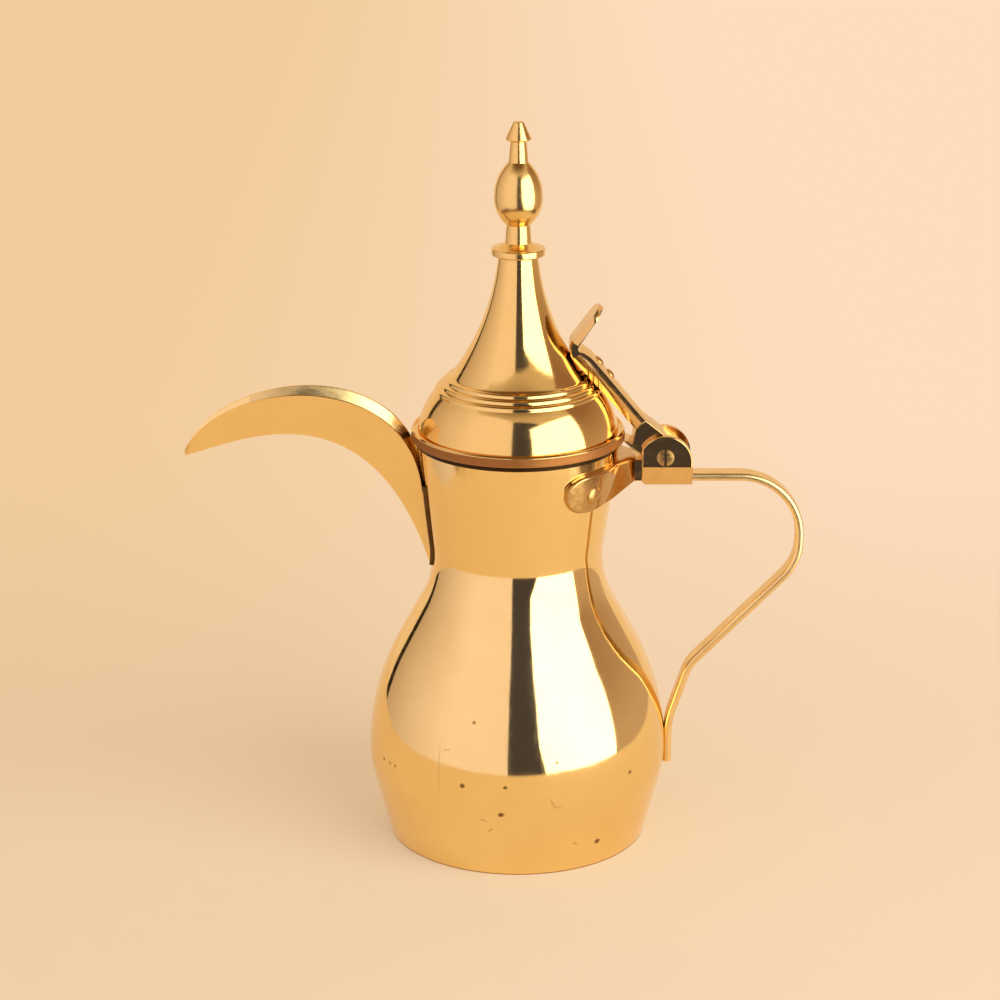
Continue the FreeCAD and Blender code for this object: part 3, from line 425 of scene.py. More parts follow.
# pits and old scratches low on the belly, as in the photograph
bellyMarks = [
    (-108.1, 67.3, 1.8, 1.5, 0, 0.7), (-111.4, 41.3, 2.2, 2.0, 0, 0.9), (-94.9, 42.2, 1.9, 1.5, 0, 0.9),
    (-96.5, 30.1, 2.6, 2.0, 20, 0.95), (-55.2, 12.0, 2.9, 2.4, 0, 0.95), (-75.2, 51.9, 1.6, 1.3, 0, 0.7),
    (-42.4, 40.5, 2.0, 1.7, 0, 0.8), (-153.0, 40.4, 1.6, 1.4, 0, 0.8), (-148.1, 40.6, 1.6, 1.2, 0, 0.7),
    (-144.5, 40.7, 1.4, 1.2, 0, 0.7), (-121.5, 46.5, 0.7, 20.0, 1, 0.22), (-118.5, 55.0, 3.0, 0.8, 8, 0.25),
    (-101.0, 22.3, 3.4, 0.9, 40, 0.35), (-103.5, 27.0, 4.0, 0.8, -15, 0.3), (-76.9, 34.6, 0.8, 5.5, 30, 0.3),
    (-75.0, 33.0, 4.4, 0.7, 4, 0.25), (-66.0, 13.5, 2.4, 0.9, -10, 0.4)]
bellyBrass = makeBrass("planished sheet brass, polished and pitted", sheetFinish, bellyMarks, pot.belly)


def shoulderRadius(z):
    rise = pot.waistHeight - pot.highCorner
    return pot.belly + (pot.waist - pot.belly) * (z - pot.highCorner) / rise


def coneRadius(z):
    return pot.waist + (pot.mouth - pot.waist) * (z - pot.waistHeight) / (neckTop - pot.waistHeight)


seamRadius = shoulderRadius(pot.seam)
lapTop = pot.seam + pot.lap
lapRadius = shoulderRadius(lapTop)
sideSlope = (pot.belly - pot.base) / pot.lowCorner
bellyShell = turned("bellyShell", [
    (pot.base, 0, pot.edge),
    (pot.base + sideSlope * pot.footLine, pot.footLine),
    (pot.belly, pot.lowCorner, pot.lowRound),
    (pot.belly, pot.highCorner, pot.highRound),
    (seamRadius, pot.seam),
    (seamRadius - pot.wall, pot.seam),
    (lapRadius - pot.wall, lapTop),
    (lapRadius - 2 * pot.wall, lapTop),
    (seamRadius - 2 * pot.wall, pot.seam),
    (pot.belly - pot.wall, pot.highCorner, pot.highRound),
    (pot.belly - pot.wall, pot.lowCorner, pot.lowRound),
    (pot.base - pot.wall, 0)], bellyBrass, pot.segments)
# a thin rough brown ring at the belly's foot: painted contact shadow on the table
band(bellyShell, shadeBrownBrass, -pot.edge, pot.footLine, pot.base - pot.skin)
dress(bellyShell, "pot", "belly_shell")
basePlate = turned("basePlate", [
    (0, 0),
    (pot.base - pot.wall, 0),
    (pot.base - pot.wall + sideSlope * pot.baseThickness, pot.baseThickness),
    (0, pot.baseThickness)], planishedBrass)
dress(basePlate, "pot", "base_plate")
neckOutside = [(seamRadius, pot.seam), (pot.waist, pot.waistHeight, pot.waistRound)]
gapFoot = neckTop - pot.gapLine
neckShell = turned("neckShell", neckOutside + [
    (coneRadius(gapFoot), gapFoot),
    (pot.mouth, neckTop, pot.edge),
    (pot.mouth - pot.wall, neckTop, pot.edge),
    (pot.waist - pot.wall, pot.waistHeight, pot.waistRound),
    (seamRadius - pot.wall, pot.seam)], planishedBrass, pot.segments)
skinOutline = outlinePoints(neckOutside + [(pot.mouth, neckTop), (0, neckTop), (0, pot.seam)])
neckSkin = [point for point in skinOutline if point.x > pot.skin]
print("belly and neck turned")


# Outside radius of belly shoulder, waist and neck at a height
def skinRadius(z):
    for low, high in zip(neckSkin, neckSkin[1:]):
        if low.y <= z <= high.y:
            return low.x + (high.x - low.x) * (z - low.y) / max(high.y - low.y, 1e-6)
    return neckSkin[0].x if z < neckSkin[0].y else neckSkin[-1].x


# Spout: a beak folded from sheet, V section, the lip and the keel are two Bezier lines
beakSizes = {
    "reach": 135.7, "tipDrop": 5.6, "tipDepth": 2.3, "tipHalf": 1.9, "rootHalf": 10.0, "sheet": 1.0,
    "lipRootDrop": 20.5, "lipTip": (15.2, 32.8), "lipRoot": (-4.5, 53.9), "lipRise": 0.25, "depth": 18.0,
    "keelRootDrop": 7.3, "keelTip": (20.1, 4.7), "keelRoot": (-23.2, 93.2), "bury": 0.7, "end": 116.6,
    "stub": 12.0, "solidTip": 26.0, "slotOut": 6.0, "slotIn": 9.0, "along": 96, "across": 14, "sharp": 40}
beak = SimpleNamespace(**beakSizes)


def bezierPoint(start, startPull, finish, finishPull, share):
    a, b = start, start + Vector(startPull)
    c, d = finish + Vector(finishPull), finish
    rest = 1 - share
    return a * rest ** 3 + b * 3 * share * rest ** 2 + c * 3 * share ** 2 * rest + d * share ** 3


beakTip = Vector((-beak.reach, neckTop - beak.tipDrop))
keelTip = beakTip - Vector((0, beak.tipDepth))
lipRoot = Vector((-coneRadius(neckTop - beak.lipRootDrop), neckTop - beak.lipRootDrop))
keelRoot = Vector((-pot.waist, pot.waistHeight - beak.keelRootDrop))


# A point of the beak's wall: share along it, height from keel 0 to lip 1, side, and skin grown outwards
def beakPoint(share, height, side, grown):
    held = min(share, 1)
    top = bezierPoint(beakTip, beak.lipTip, lipRoot, beak.lipRoot, held)
    low = bezierPoint(keelTip, beak.keelTip, keelRoot, beak.keelRoot, held)
    progress = max(0, (top.x - beakTip.x) / (lipRoot.x - beakTip.x))
    half = beak.tipHalf + (beak.rootHalf - beak.tipHalf) * sqrt(progress)
    rise = top - low
    slope = atan2(half, rise.length)
    apex = low - rise.normalized() * grown / sin(slope)
    spread = (top - apex).length * tan(slope) * height
    at = apex + (top - apex) * height
    return Vector((at.x + beak.stub * max(0, share - 1), side * spread, at.y))


# Share at which a line of the wall meets the neck, found by halving
def rootShare(height, grown, bury):
    low, high = 0.5, 2.0
    for _ in range(40):
        middle = (low + high) / 2
        at = beakPoint(middle, height, 1, grown)
        if hypot(at.x, at.y) > skinRadius(at.z) - bury:
            low = middle
        else:
            high = middle
    return high


# Heights from the lip down to the keel on one side and up again on the other
def roundKeel(count, side=1, top=1):
    down = [(top * (1 - at / count), side) for at in range(count + 1)]
    return down + [(height, -side) for height, _ in down[-2::-1]]


# Across the sheet: outer skin from lip to keel to lip, then the inner skin back, lips rounded
lipCrown = 1.0 + beak.lipRise / beak.depth
acrossSheet = [(height, side, 0.0) for height, side in roundKeel(beak.across)]
acrossSheet.append((lipCrown, -1, -0.5 * beak.sheet))
acrossSheet += [(height, side, -beak.sheet) for height, side in roundKeel(beak.across, -1)]
acrossSheet.append((lipCrown, 1, -0.5 * beak.sheet))
beakVerts = []
for height, side, grown in acrossSheet:
    last = rootShare(min(height, 1), grown, beak.bury)
    for step in range(beak.along + 1):
        at = step / beak.along
        beakVerts.append(tuple(beakPoint(at * last, height, side, grown) * mm))
rowLength = beak.along + 1
beakFaces = rowFaces(len(acrossSheet), rowLength, closedRows=True)
wallCount = len(beakFaces)
beakFaces.append([row * rowLength for row in range(len(acrossSheet))])
beakFaces.append([row * rowLength + beak.along for row in reversed(range(len(acrossSheet)))])
spoutBeak = meshObject("spoutBeak", beakVerts, [], beakFaces)
# outer skin and tip polished, lips and inside only brushed
paint(spoutBeak, planishedBrass, foldedBrass)
outerCount = 2 * beak.across * beak.along
for face in spoutBeak.data.polygons[outerCount:wallCount]:
    if face.center.x > (beak.solidTip - beak.reach) * mm:
        face.material_index = 1
with opened(spoutBeak) as work:
    splitLevel(work, beak.end, True)
tidyMesh(spoutBeak, beak.sharp)
dress(spoutBeak, "pot", "spout_beak")

# The neck is open behind the beak
slotRing = [beakPoint(1, height, side, -beak.sheet) for height, side in ((0, 1), (1, 1), (1, -1))]
slotEnds = (-beak.slotOut, beak.slotIn)
slotVerts = [tuple((point + Vector((out, 0, 0))) * mm) for out in slotEnds for point in slotRing]
slotFaces = [(0, 1, 2), (5, 4, 3), (0, 3, 4, 1), (1, 4, 5, 2), (2, 5, 3, 0)]
carve(neckShell, tidyMesh(meshObject("pourSlot", slotVerts, [], slotFaces)))
tidyMesh(neckShell)
# the neck's top band under the lid flange gets the dark brass, a painted shade of the gap there
band(neckShell, gapShadeBrass, gapFoot, neckTop, pot.mouth - pot.skin)
dress(neckShell, "pot", "neck_shell")

# Solder along the joint of beak and neck
seamSizes = {
    "width": 2.6, "height": 0.8, "stepCount": 40, "lift": 0.1, "over": 1.06, "out": 1.1, "below": 0.3,
    "profileSteps": 16}
seam = SimpleNamespace(**seamSizes)
seamLine = []
for height, side in roundKeel(seam.stepCount, top=seam.over):
    share = rootShare(height, seam.out, -seam.lift)
    seamLine.append(beakPoint(share, height, side, seam.out))
seamProfile = ovalPoints(seam.width / 2, seam.height, seam.profileSteps)
spoutSeam = sweptAlong("spoutSolderSeam", seamLine, seamProfile, darkSolder)
with opened(spoutSeam) as work:
    splitLevel(work, beak.end - seam.below, True)
tidyMesh(spoutSeam)
dress(spoutSeam, "pot", "spout_solder_seam")
print("spout folded and soldered")

# Hinge fork: two round-topped cheeks on a block, with a short plain collar towards the neck
forkSizes = {
    "width": 18.3, "gap": 12.6, "front": 9.5, "depth": 11.9, "chamfer": 1.4, "cheek": 11.0, "cheekDrop": 2.1,
    "floor": 7.5, "edge": 0.45, "crease": 4.0, "taper": 0.19, "skin": 0.5, "creaseAngle": 8,
    "cutOver": 5.0, "cutUp": 20.0, "collarLength": 2.8, "collarWidth": 14.0, "collarRise": 9.0,
    "collarOver": 0.4, "collarInto": 0.5, "collarEdge": 0.3}
fork = SimpleNamespace(**forkSizes)
forkFace, forkBack = pin.x - fork.front, pin.x + fork.cheek
forkBottom = pin.z - fork.depth
cheekCenter = pin.z - fork.cheekDrop
cheekOutline = outlinePoints([
    (forkFace + fork.chamfer, forkBottom),
    (forkBack, forkBottom),
    (forkBack, cheekCenter),
    ("arc", fork.cheek, 1),
    (forkFace, cheekCenter + sqrt(fork.cheek ** 2 - fork.front ** 2)),
    (forkFace, forkBottom + fork.chamfer)])
hingeFork = cutFromPlate("hingeFork", cheekOutline, -fork.width / 2, fork.width / 2, fork.edge)
gapOutline = rectangle(
    forkFace - fork.cutOver, forkBack + fork.cutOver, pin.z - fork.floor, pin.z + fork.cutUp)
carve(hingeFork, cutFromPlate("forkGap", gapOutline, -fork.gap / 2, fork.gap / 2))
# below a crease at the pin the cheeks are filed in towards the bottom
with opened(hingeFork) as work:
    splitLevel(work, pin.z - fork.crease)
    crease = (pin.z - fork.crease) * mm
    for vert in work.verts:
        if vert.co.z < crease and abs(vert.co.y) > (fork.gap / 2 + fork.skin) * mm:
            vert.co.y -= copysign((crease - vert.co.z) * fork.taper, vert.co.y)
collarFace = forkFace - fork.collarLength
collarLow = forkBottom + fork.chamfer
collarOutline = rectangle(
    collarFace - fork.collarOver, forkFace + fork.collarInto, collarLow, collarLow + fork.collarRise)
forkCollar = cutFromPlate(
    "forkCollar", collarOutline, -fork.collarWidth / 2, fork.collarWidth / 2, fork.collarEdge)
carve(hingeFork, forkCollar, "UNION")
weightNormals(hingeFork, fork.creaseAngle)
dress(hingeFork, "pot", "hinge_fork", castBrass)

# Hinge pin: slotted screw with its low-domed head in the near cheek
screwSizes = {
    "shank": 2.5, "head": 3.5, "headDepth": 1.4, "slotWidth": 1.1, "slotDepth": 0.5, "slotOver": 1.0,
    "edge": 0.25, "dome": 0.3, "segments": 64}
screw = SimpleNamespace(**screwSizes)
headCurve = (screw.head ** 2 + screw.dome ** 2) / (2 * screw.dome)
hingePin = turned("hingePin", [
    (0, -screw.dome),
    ("arc", headCurve, 1),
    (screw.head, 0),
    (screw.shank, screw.headDepth),
    (screw.shank, fork.width, screw.edge),
    (0, fork.width)], hardwareBrass, screw.segments)
pinFace = -fork.width / 2
hingePin.data.transform(Matrix.Translation(Vector((pin.x, pinFace, pin.z)) * mm)
                        @ Matrix.Rotation(radians(-90), 4, "X"))
slotHalf, slotReach = screw.slotWidth / 2, 2 * screw.head
slotOutline = rectangle(pin.x - slotHalf, pin.x + slotHalf, pin.z - slotReach, pin.z + slotReach)
carve(hingePin, cutFromPlate("pinSlot", slotOutline, pinFace - screw.slotOver, pinFace + screw.slotDepth))
tidyMesh(hingePin)
dress(hingePin, "pot", "hinge_pin")

# Saddle: ears that hug the neck and swell into the arm of the fork, seen from the axis as one height field
saddleSizes = {
    "topDrop": 0.4, "height": 17.0, "armRise": 6.3, "ear": 2.4, "earAngle": 58.0, "armAngle": 36.0,
    "armHalf": 7.0, "round": 7.0, "edge": 1.0, "columns": 220, "rows": 48, "bury": 0.3, "into": 0.3,
    "skinShare": 0.6, "thin": 0.25, "endShare": 1.2, "guard": 0.01, "sharp": 40, "doubles": 2e-6}
saddle = SimpleNamespace(**saddleSizes)
saddleTop = pin.z - saddle.topDrop
saddleLow = saddleTop - saddle.height
saddleMiddle = saddleLow + saddle.height / 2
armEnd = collarFace + saddle.into
earReach = coneRadius(saddleLow) + saddle.ear
armAngle, earAngle = radians(saddle.armAngle), radians(saddle.earAngle)
leafEnd = earReach * cos(earAngle) - saddle.ear
leafOutline = outlinePoints([
    (armEnd, saddleLow + saddle.armRise),
    (armEnd, saddleTop),
    (leafEnd, saddleTop, saddle.round),
    (leafEnd, saddleLow + saddle.round / 4, saddle.round),
    (earReach * cos(armAngle), saddleLow, saddle.round)])
tangentPlace = Vector((earReach * cos(armAngle), earReach * sin(armAngle)))


# Heights of the leaf's lower and upper edge over a distance across
def leafSpan(across):
    crossings = []
    for a, b in zip(leafOutline, leafOutline[1:] + leafOutline[:1]):
        if (a.x - across) * (b.x - across) <= 0 and abs(a.x - b.x) > 1e-9:
            crossings.append(a.y + (b.y - a.y) * (across - a.x) / (b.x - a.x))
    return min(crossings), max(crossings)


# Outside of saddle at an azimuth: the wedge of the arm or the ear, whichever stands further out
def saddleReach(azimuth, z):
    ear = coneRadius(z) + saddle.ear
    turn = abs(azimuth)
    run = tangentPlace - Vector((collarFace, saddle.armHalf))
    along = Vector((cos(turn), sin(turn)))
    slant = along.x * run.y - along.y * run.x
    wedge = (collarFace * run.y - saddle.armHalf * run.x) / slant if abs(slant) > 1e-6 else 0
    if turn > armAngle:
        wedge = 0
    if turn < atan2(saddle.armHalf, collarFace):
        wedge = armEnd / cos(turn)
    return max(ear, wedge)


saddleVerts = []
skinMiddle = coneRadius(saddleMiddle) + saddle.ear * saddle.skinShare
edgeTurn = acos((leafEnd + 2 * saddle.guard) / skinMiddle)
for column in range(saddle.columns + 1):
    azimuth = edgeTurn * sin(pi / 2 * (2 * column / saddle.columns - 1))
    reach = saddleReach(azimuth, saddleMiddle) if abs(azimuth) < armAngle else skinMiddle
    across = reach * cos(azimuth)
    low, high = leafSpan(min(max(across, leafEnd + saddle.guard), armEnd - saddle.guard))
    for row in range(saddle.rows + 1):
        z = low + (high - low) * (0.5 - 0.5 * cos(pi * row / saddle.rows))
        # the rim is rounded over by its distance from the leaf's edge
        rim = min(z - low, high - z, (edgeTurn - abs(azimuth)) * earReach * saddle.endShare)
        share = min(1, max(0, rim) / saddle.edge)
        lift = sqrt(1 - (1 - share) ** 2)
        inside = coneRadius(z) - saddle.bury
        reach = inside + (saddleReach(azimuth, z) - inside) * (saddle.thin + (1 - saddle.thin) * lift)
        saddleVerts.append((reach * cos(azimuth) * mm, reach * sin(azimuth) * mm, z * mm))
skinCount = len(saddleVerts)
for x, y, z in saddleVerts[:skinCount]:
    turn = atan2(y, x)
    inside = (coneRadius(z / mm) - saddle.bury) * mm
    saddleVerts.append((inside * cos(turn), inside * sin(turn), z))
rowLength = saddle.rows + 1
skinFaces = rowFaces(saddle.columns + 1, rowLength)
saddleFaces = skinFaces + [tuple(skinCount + at for at in face) for face in skinFaces]
# lower and upper rim, then the ends of both ears
for column in range(saddle.columns):
    for a in (column * rowLength, column * rowLength + saddle.rows):
        b = a + rowLength
        saddleFaces.append((a, skinCount + a, skinCount + b, b))
for first in (0, saddle.columns * rowLength):
    for a in range(first, first + saddle.rows):
        saddleFaces.append((a, a + 1, skinCount + a + 1, skinCount + a))
neckSaddle = meshObject("neckSaddle", saddleVerts, [], saddleFaces)
tidyMesh(neckSaddle, saddle.sharp, saddle.doubles)
dress(neckSaddle, "pot", "neck_saddle", saddleBrass)
print("saddle, fork and pin made")

# Rivets: one low-domed head, set on points that carry the direction they are driven in
rivetTree, rivetIn = newTree("rivets", {
    "Head": "NodeSocketFloat", "Rise": "NodeSocketFloat", "Shank": "NodeSocketFloat",
    "Tail": "NodeSocketFloat", "Finish": "NodeSocketMaterial"})
rivetBall = addNode(rivetTree, "GeometryNodeMeshUVSphere", {"Segments": 48, "Rings": 24, "Radius": 1.0})
rivetSquash = addNode(rivetTree, "ShaderNodeCombineXYZ", {
    0: rivetIn["Head"], 1: rivetIn["Head"], 2: rivetIn["Rise"]})
rivetHead = addNode(rivetTree, "GeometryNodeTransform", {0: rivetBall, "Scale": rivetSquash})
rivetRod = addNode(rivetTree, "GeometryNodeMeshCylinder", {
    "Vertices": 32, "Radius": rivetIn["Shank"], "Depth": rivetIn["Tail"]})
rivetDown = addNode(rivetTree, "ShaderNodeMath", {0: rivetIn["Tail"], 1: -0.5}, operation="MULTIPLY")
rivetDrop = addNode(rivetTree, "ShaderNodeCombineXYZ", {2: rivetDown})
rivetShank = addNode(rivetTree, "GeometryNodeTransform", {0: rivetRod, "Translation": rivetDrop})
rivetJoin = addNode(rivetTree, "GeometryNodeJoinGeometry")
for half in (rivetHead, rivetShank):
    rivetTree.links.new(half.outputs[0], rivetJoin.inputs[0])
driven = addNode(rivetTree, "GeometryNodeInputNamedAttribute", {"Name": "driven"}, data_type="FLOAT_VECTOR")
rivetTurn = addNode(rivetTree, "FunctionNodeAlignRotationToVector", {"Vector": driven}, axis="Z")
rivetSet = addNode(rivetTree, "GeometryNodeInstanceOnPoints", {
    0: rivetIn["Geometry"], "Instance": rivetJoin, "Rotation": rivetTurn})
endTree(rivetTree, rivetSet, rivetIn["Finish"])


def riveted(name, seats, sizes, body, node):
    piece = meshObject(name, [tuple(place * mm) for place, _ in seats])
    attribute = piece.data.attributes.new("driven", "FLOAT_VECTOR", "POINT")
    for at, (_, way) in enumerate(seats):
        attribute.data[at].vector = way
    settings = {label: sizes[label.lower()] * mm for label in ("Head", "Rise", "Shank", "Tail")}
    runTree(piece, rivetTree, {**settings, "Finish": hardwareBrass})
    tidyMesh(piece)
    dress(piece, body, node)


earRivetSizes = {"angle": 44.0, "drop": 9.5, "head": 3.6, "rise": 1.15, "shank": 1.9, "tail": 4.6}
neckFlare = (pot.mouth - pot.waist) / (neckTop - pot.waistHeight)
earSeats = []
for side in (1, -1):
    turn = radians(earRivetSizes["angle"]) * side
    z = pin.z - earRivetSizes["drop"]
    reach = coneRadius(z) + saddle.ear
    out = Vector((cos(turn), sin(turn), -neckFlare)).normalized()
    earSeats.append((Vector((reach * cos(turn), reach * sin(turn), z)), out))
riveted("saddleRivets", earSeats, earRivetSizes, "pot", "saddle_rivets")

# Handle: a flat strap bent from the fork round to the belly
strapSizes = {
    "reach": 115.6, "width": 9.0, "thickness": 3.2, "rise": 2.0, "topRound": 25.0, "turnDrop": 37.0,
    "turnRound": 8.8, "kinkOut": 9.4, "kinkHeight": 72.0, "kinkRound": 4.0, "footTop": 47.0, "footEnd": 29.0,
    "footRound": 6.0, "bite": 0.4, "edge": 1.3}
strap = SimpleNamespace(**strapSizes)
strapUp = forkBottom + strap.rise
footOut = pot.belly + strap.thickness / 2 - strap.bite
strapLine = outlinePoints([
    (forkBack - strap.bite, strapUp),
    (strap.reach, strapUp, strap.topRound),
    (strap.reach, strapUp - strap.turnDrop, strap.turnRound),
    (pot.belly + strap.kinkOut, strap.kinkHeight, strap.kinkRound),
    (footOut, strap.footTop, strap.footRound),
    (footOut, strap.footEnd)])
strapPath = [Vector((point.x, 0, point.y)) for point in strapLine]
halfWidth, halfThick = strap.width / 2, strap.thickness / 2
strapProfile = outlinePoints([
    (*corner, strap.edge) for corner in rectangle(-halfWidth, halfWidth, -halfThick, halfThick)])
handleStrap = sweptAlong("handleStrap", strapPath, strapProfile, strapBrass)
dress(handleStrap, "pot", "handle_strap")
print("handle bent")

# Lid: flange with a raised lip, skirt below, dome spun with three beads, hollow spire
lidSizes = {
    "overhang": 1.6, "height": 4.4, "bevel": 0.8, "lip": 1.2, "lipEdge": 0.15, "groove": 1.3,
    "grooveDepth": 0.9, "inner": 4.0, "edge": 0.3, "brownDepth": 0.4, "brownDrop": 0.05,
    "skirtDepth": 5.0, "skirtGap": 1.5, "skirtEdge": 0.2, "wall": 1.0, "centerDrop": 5.9, "curve": 35.4,
    "crease": 53.3, "spireCurve": 98.0, "spireRadius": 8.0, "plate": 1.4, "hole": 2.6, "bead": 1.5,
    "beadProud": 0.6, "beadFirst": 40.9, "beadStep": 4.8, "beadCount": 3, "domeSteps": 150,
    "spireStep": 0.5, "innerStep": 1.0, "segments": 256}
lid = SimpleNamespace(**lidSizes)
flangeRadius = pot.mouth + lid.overhang
flangeTop = lidFoot + lid.height
domeFootRadius = flangeRadius - lid.lip - lid.groove
domeFoot = flangeTop - lid.grooveDepth
lidFlange = turned("lidFlange", [
    (domeFootRadius - lid.inner, lidFoot),
    (flangeRadius, lidFoot, lid.edge),
    (flangeRadius, flangeTop - lid.bevel, lid.edge),
    (flangeRadius - lid.bevel, flangeTop, lid.lipEdge),
    (flangeRadius - lid.lip, flangeTop, lid.lipEdge),
    (flangeRadius - lid.lip, domeFoot),
    (domeFootRadius - lid.inner, domeFoot)], turnedBrass, lid.segments)
brownTop = flangeTop - lid.bevel - lid.brownDrop
# the flange's outer face is painted rough brown, a painted reflection of the dim, shaded room in front
band(lidFlange, shadeBrownBrass, lidFoot, brownTop, flangeRadius - lid.brownDepth)
dress(lidFlange, "lid", "lid_flange")
skirtRadius = pot.mouth - pot.wall - lid.skirtGap
skirtFoot = lidFoot - lid.skirtDepth
lidSkirt = turned("lidSkirt", [
    (skirtRadius - lid.wall, skirtFoot, lid.skirtEdge),
    (skirtRadius, skirtFoot, lid.skirtEdge),
    (skirtRadius, lidFoot),
    (skirtRadius - lid.wall, lidFoot)], turnedBrass)
dress(lidSkirt, "lid", "lid_skirt")
curveFoot = sqrt(lid.curve ** 2 - lid.centerDrop ** 2)
domeCenter = Vector((domeFootRadius - curveFoot, domeFoot - lid.centerDrop))


def domePlace(radius, angle):
    turn = radians(angle)
    return domeCenter + Vector((cos(turn), sin(turn))) * radius


# How far a bead stands proud of the dome at an angle
def beadLift(angle):
    lift = 0
    for bead in range(lid.beadCount):
        off = radians(angle - lid.beadFirst - bead * lid.beadStep) * lid.curve
        if abs(off) < lid.bead:
            lift = max(lift, sqrt(lid.bead ** 2 - off ** 2) - lid.bead + lid.beadProud)
    return lift


footAngle = degrees(asin(lid.centerDrop / lid.curve))
innerCurve = lid.curve - lid.wall
plateFoot = spireTop - lid.plate
domeOutline = []
for step in range(lid.domeSteps + 1):
    angle = footAngle + (lid.crease - footAngle) * step / lid.domeSteps
    domeOutline.append(domePlace(lid.curve + beadLift(angle), angle))
spireRim = Vector((lid.spireRadius, spireTop))
domeOutline += arcPoints(domeOutline[-1], spireRim, lid.spireCurve, -1, lid.spireStep)[1:]
domeOutline += [Vector((lid.hole, spireTop)), Vector((lid.hole, plateFoot))]
innerRim = Vector((lid.spireRadius - lid.wall, plateFoot))
innerCrease = domePlace(innerCurve, lid.crease)
domeOutline += arcPoints(innerRim, innerCrease, lid.spireCurve + lid.wall, 1, lid.innerStep)
innerFoot = Vector((domeCenter.x + sqrt(innerCurve ** 2 - lid.centerDrop ** 2), domeFoot))
domeOutline += arcPoints(innerCrease, innerFoot, innerCurve, -1)[1:]
lidDome = turned("lidDome", domeOutline, turnedBrass, lid.segments)
dress(lidDome, "lid", "lid_dome")

# Finial: collar, onion knob and cap, turned and stacked, its tenon in the hole of the spire's plate
finialSizes = {
    "collar": 10.8, "rim": 3.2, "collarHeight": 5.3, "collarRound": 0.8, "sweep": 9.0, "tail": 1.2,
    "stemLow": 5.3, "stemHigh": 4.75, "stem": 7.2, "bulbFoot": 5.0, "bulb": 9.7, "bulbLow": 12.2,
    "lowCurve": 15.0, "bulbHigh": 13.0, "highCurve": 19.0, "neckLow": 3.95, "neckHigh": 3.15, "neck": 8.4,
    "spigot": 1.6, "spigotLength": 4.0, "cap": 5.2, "capTop": 2.0, "capLength": 7.6, "capEdge": 0.8,
    "capRound": 0.2, "capTopRound": 0.4, "segments": 128, "capSegments": 96}
finial = SimpleNamespace(**finialSizes)
collarTop = spireTop + finial.collarHeight
rimTop = spireTop + finial.rim
finialCollar = turned("finialCollar", [
    (lid.hole, spireTop),
    (finial.collar, spireTop, finial.collarRound),
    (finial.collar, rimTop, finial.collarRound),
    (finial.collar - 2 * finial.collarRound, rimTop),
    ("arc", finial.sweep, -1),
    (finial.stemLow, collarTop),
    (lid.hole, collarTop)], finialBrass, finial.segments)
dress(finialCollar, "lid", "finial_collar")
tenonFoot = plateFoot - finial.tail
bulbFoot = collarTop + finial.stem
bulbMiddle = bulbFoot + finial.bulbLow
bulbTop = bulbMiddle + finial.bulbHigh
capFoot = bulbTop + finial.neck
spigotTop = capFoot + finial.spigotLength
capTop = capFoot + finial.capLength
finialKnob = turned("finialKnob", [
    (0, tenonFoot),
    (lid.hole, tenonFoot),
    (lid.hole, collarTop),
    (finial.stemLow, collarTop),
    (finial.stemHigh, bulbFoot),
    (finial.bulbFoot, bulbFoot),
    ("arc", finial.lowCurve, 1),
    (finial.bulb, bulbMiddle),
    ("arc", finial.highCurve, 1),
    (finial.neckLow, bulbTop),
    (finial.neckHigh, capFoot),
    (finial.spigot, capFoot),
    (finial.spigot, spigotTop),
    (0, spigotTop)], finialBrass, finial.segments)
dress(finialKnob, "lid", "finial_knob")
finialCap = turned("finialCap", [
    (finial.spigot, capFoot),
    (finial.cap - finial.capEdge, capFoot, finial.capRound),
    (finial.cap, capFoot + finial.capEdge, finial.capRound),
    (finial.capTop, capTop, finial.capTopRound),
    (0, capTop),
    (0, spigotTop),
    (finial.spigot, spigotTop)], finialBrass, finial.capSegments)
dress(finialCap, "lid", "finial_cap")
print("lid and finial turned")

# Thumb lever: crowned bar on the knuckle, flattened and bent up for the thumb
leverSizes = {
    "footOut": 12.4, "footUp": 11.3, "bendIn": 8.3, "bendUp": 37.7, "tip": 22.2, "tipAngle": 52.5,
    "bendRound": 5.0, "bendStep": 4, "legSteps": 30, "tipSteps": 40, "edge": 0.5, "crownSteps": 24,
    "tipRound": 6.0, "tipBlunt": 0.02, "sharp": 45}
# share of the run, width, height of the sides, height of the crown
leverForm = [(0.0, 11.4, 5.2, 6.0), (0.52, 14.0, 6.0, 6.8), (0.7, 14.6, 3.2, 3.8), (1.0, 17.6, 2.0, 2.5)]
lever = SimpleNamespace(**leverSizes)
leverFoot = Vector((pin.x - lever.footOut, pin.z + lever.footUp))
leverBend = Vector((domePlace(lid.curve, lid.crease).x - lever.bendIn, lidFoot + lever.bendUp))
tipTurn = radians(lever.tipAngle)
leverTip = leverBend + Vector((cos(tipTurn), sin(tipTurn))) * lever.tip
legAlong = (leverBend - leverFoot).normalized()
tipAlong = (leverTip - leverBend).normalized()
legRun = (leverBend - leverFoot).length - lever.bendRound
tipRun = lever.tip - lever.bendRound
leverLine = [leverFoot + legAlong * legRun * at / lever.legSteps for at in range(lever.legSteps)]
bendCurve = lever.bendRound / tan(legAlong.angle(tipAlong) / 2)
leverLine += arcPoints(leverBend - legAlong * lever.bendRound, leverBend + tipAlong * lever.bendRound,
                       bendCurve, -1, lever.bendStep)
leverLine += [leverBend + tipAlong * (lever.bendRound + tipRun * at / lever.tipSteps)
              for at in range(1, lever.tipSteps + 1)]
leverLength = sum((b - a).length for a, b in zip(leverLine, leverLine[1:]))


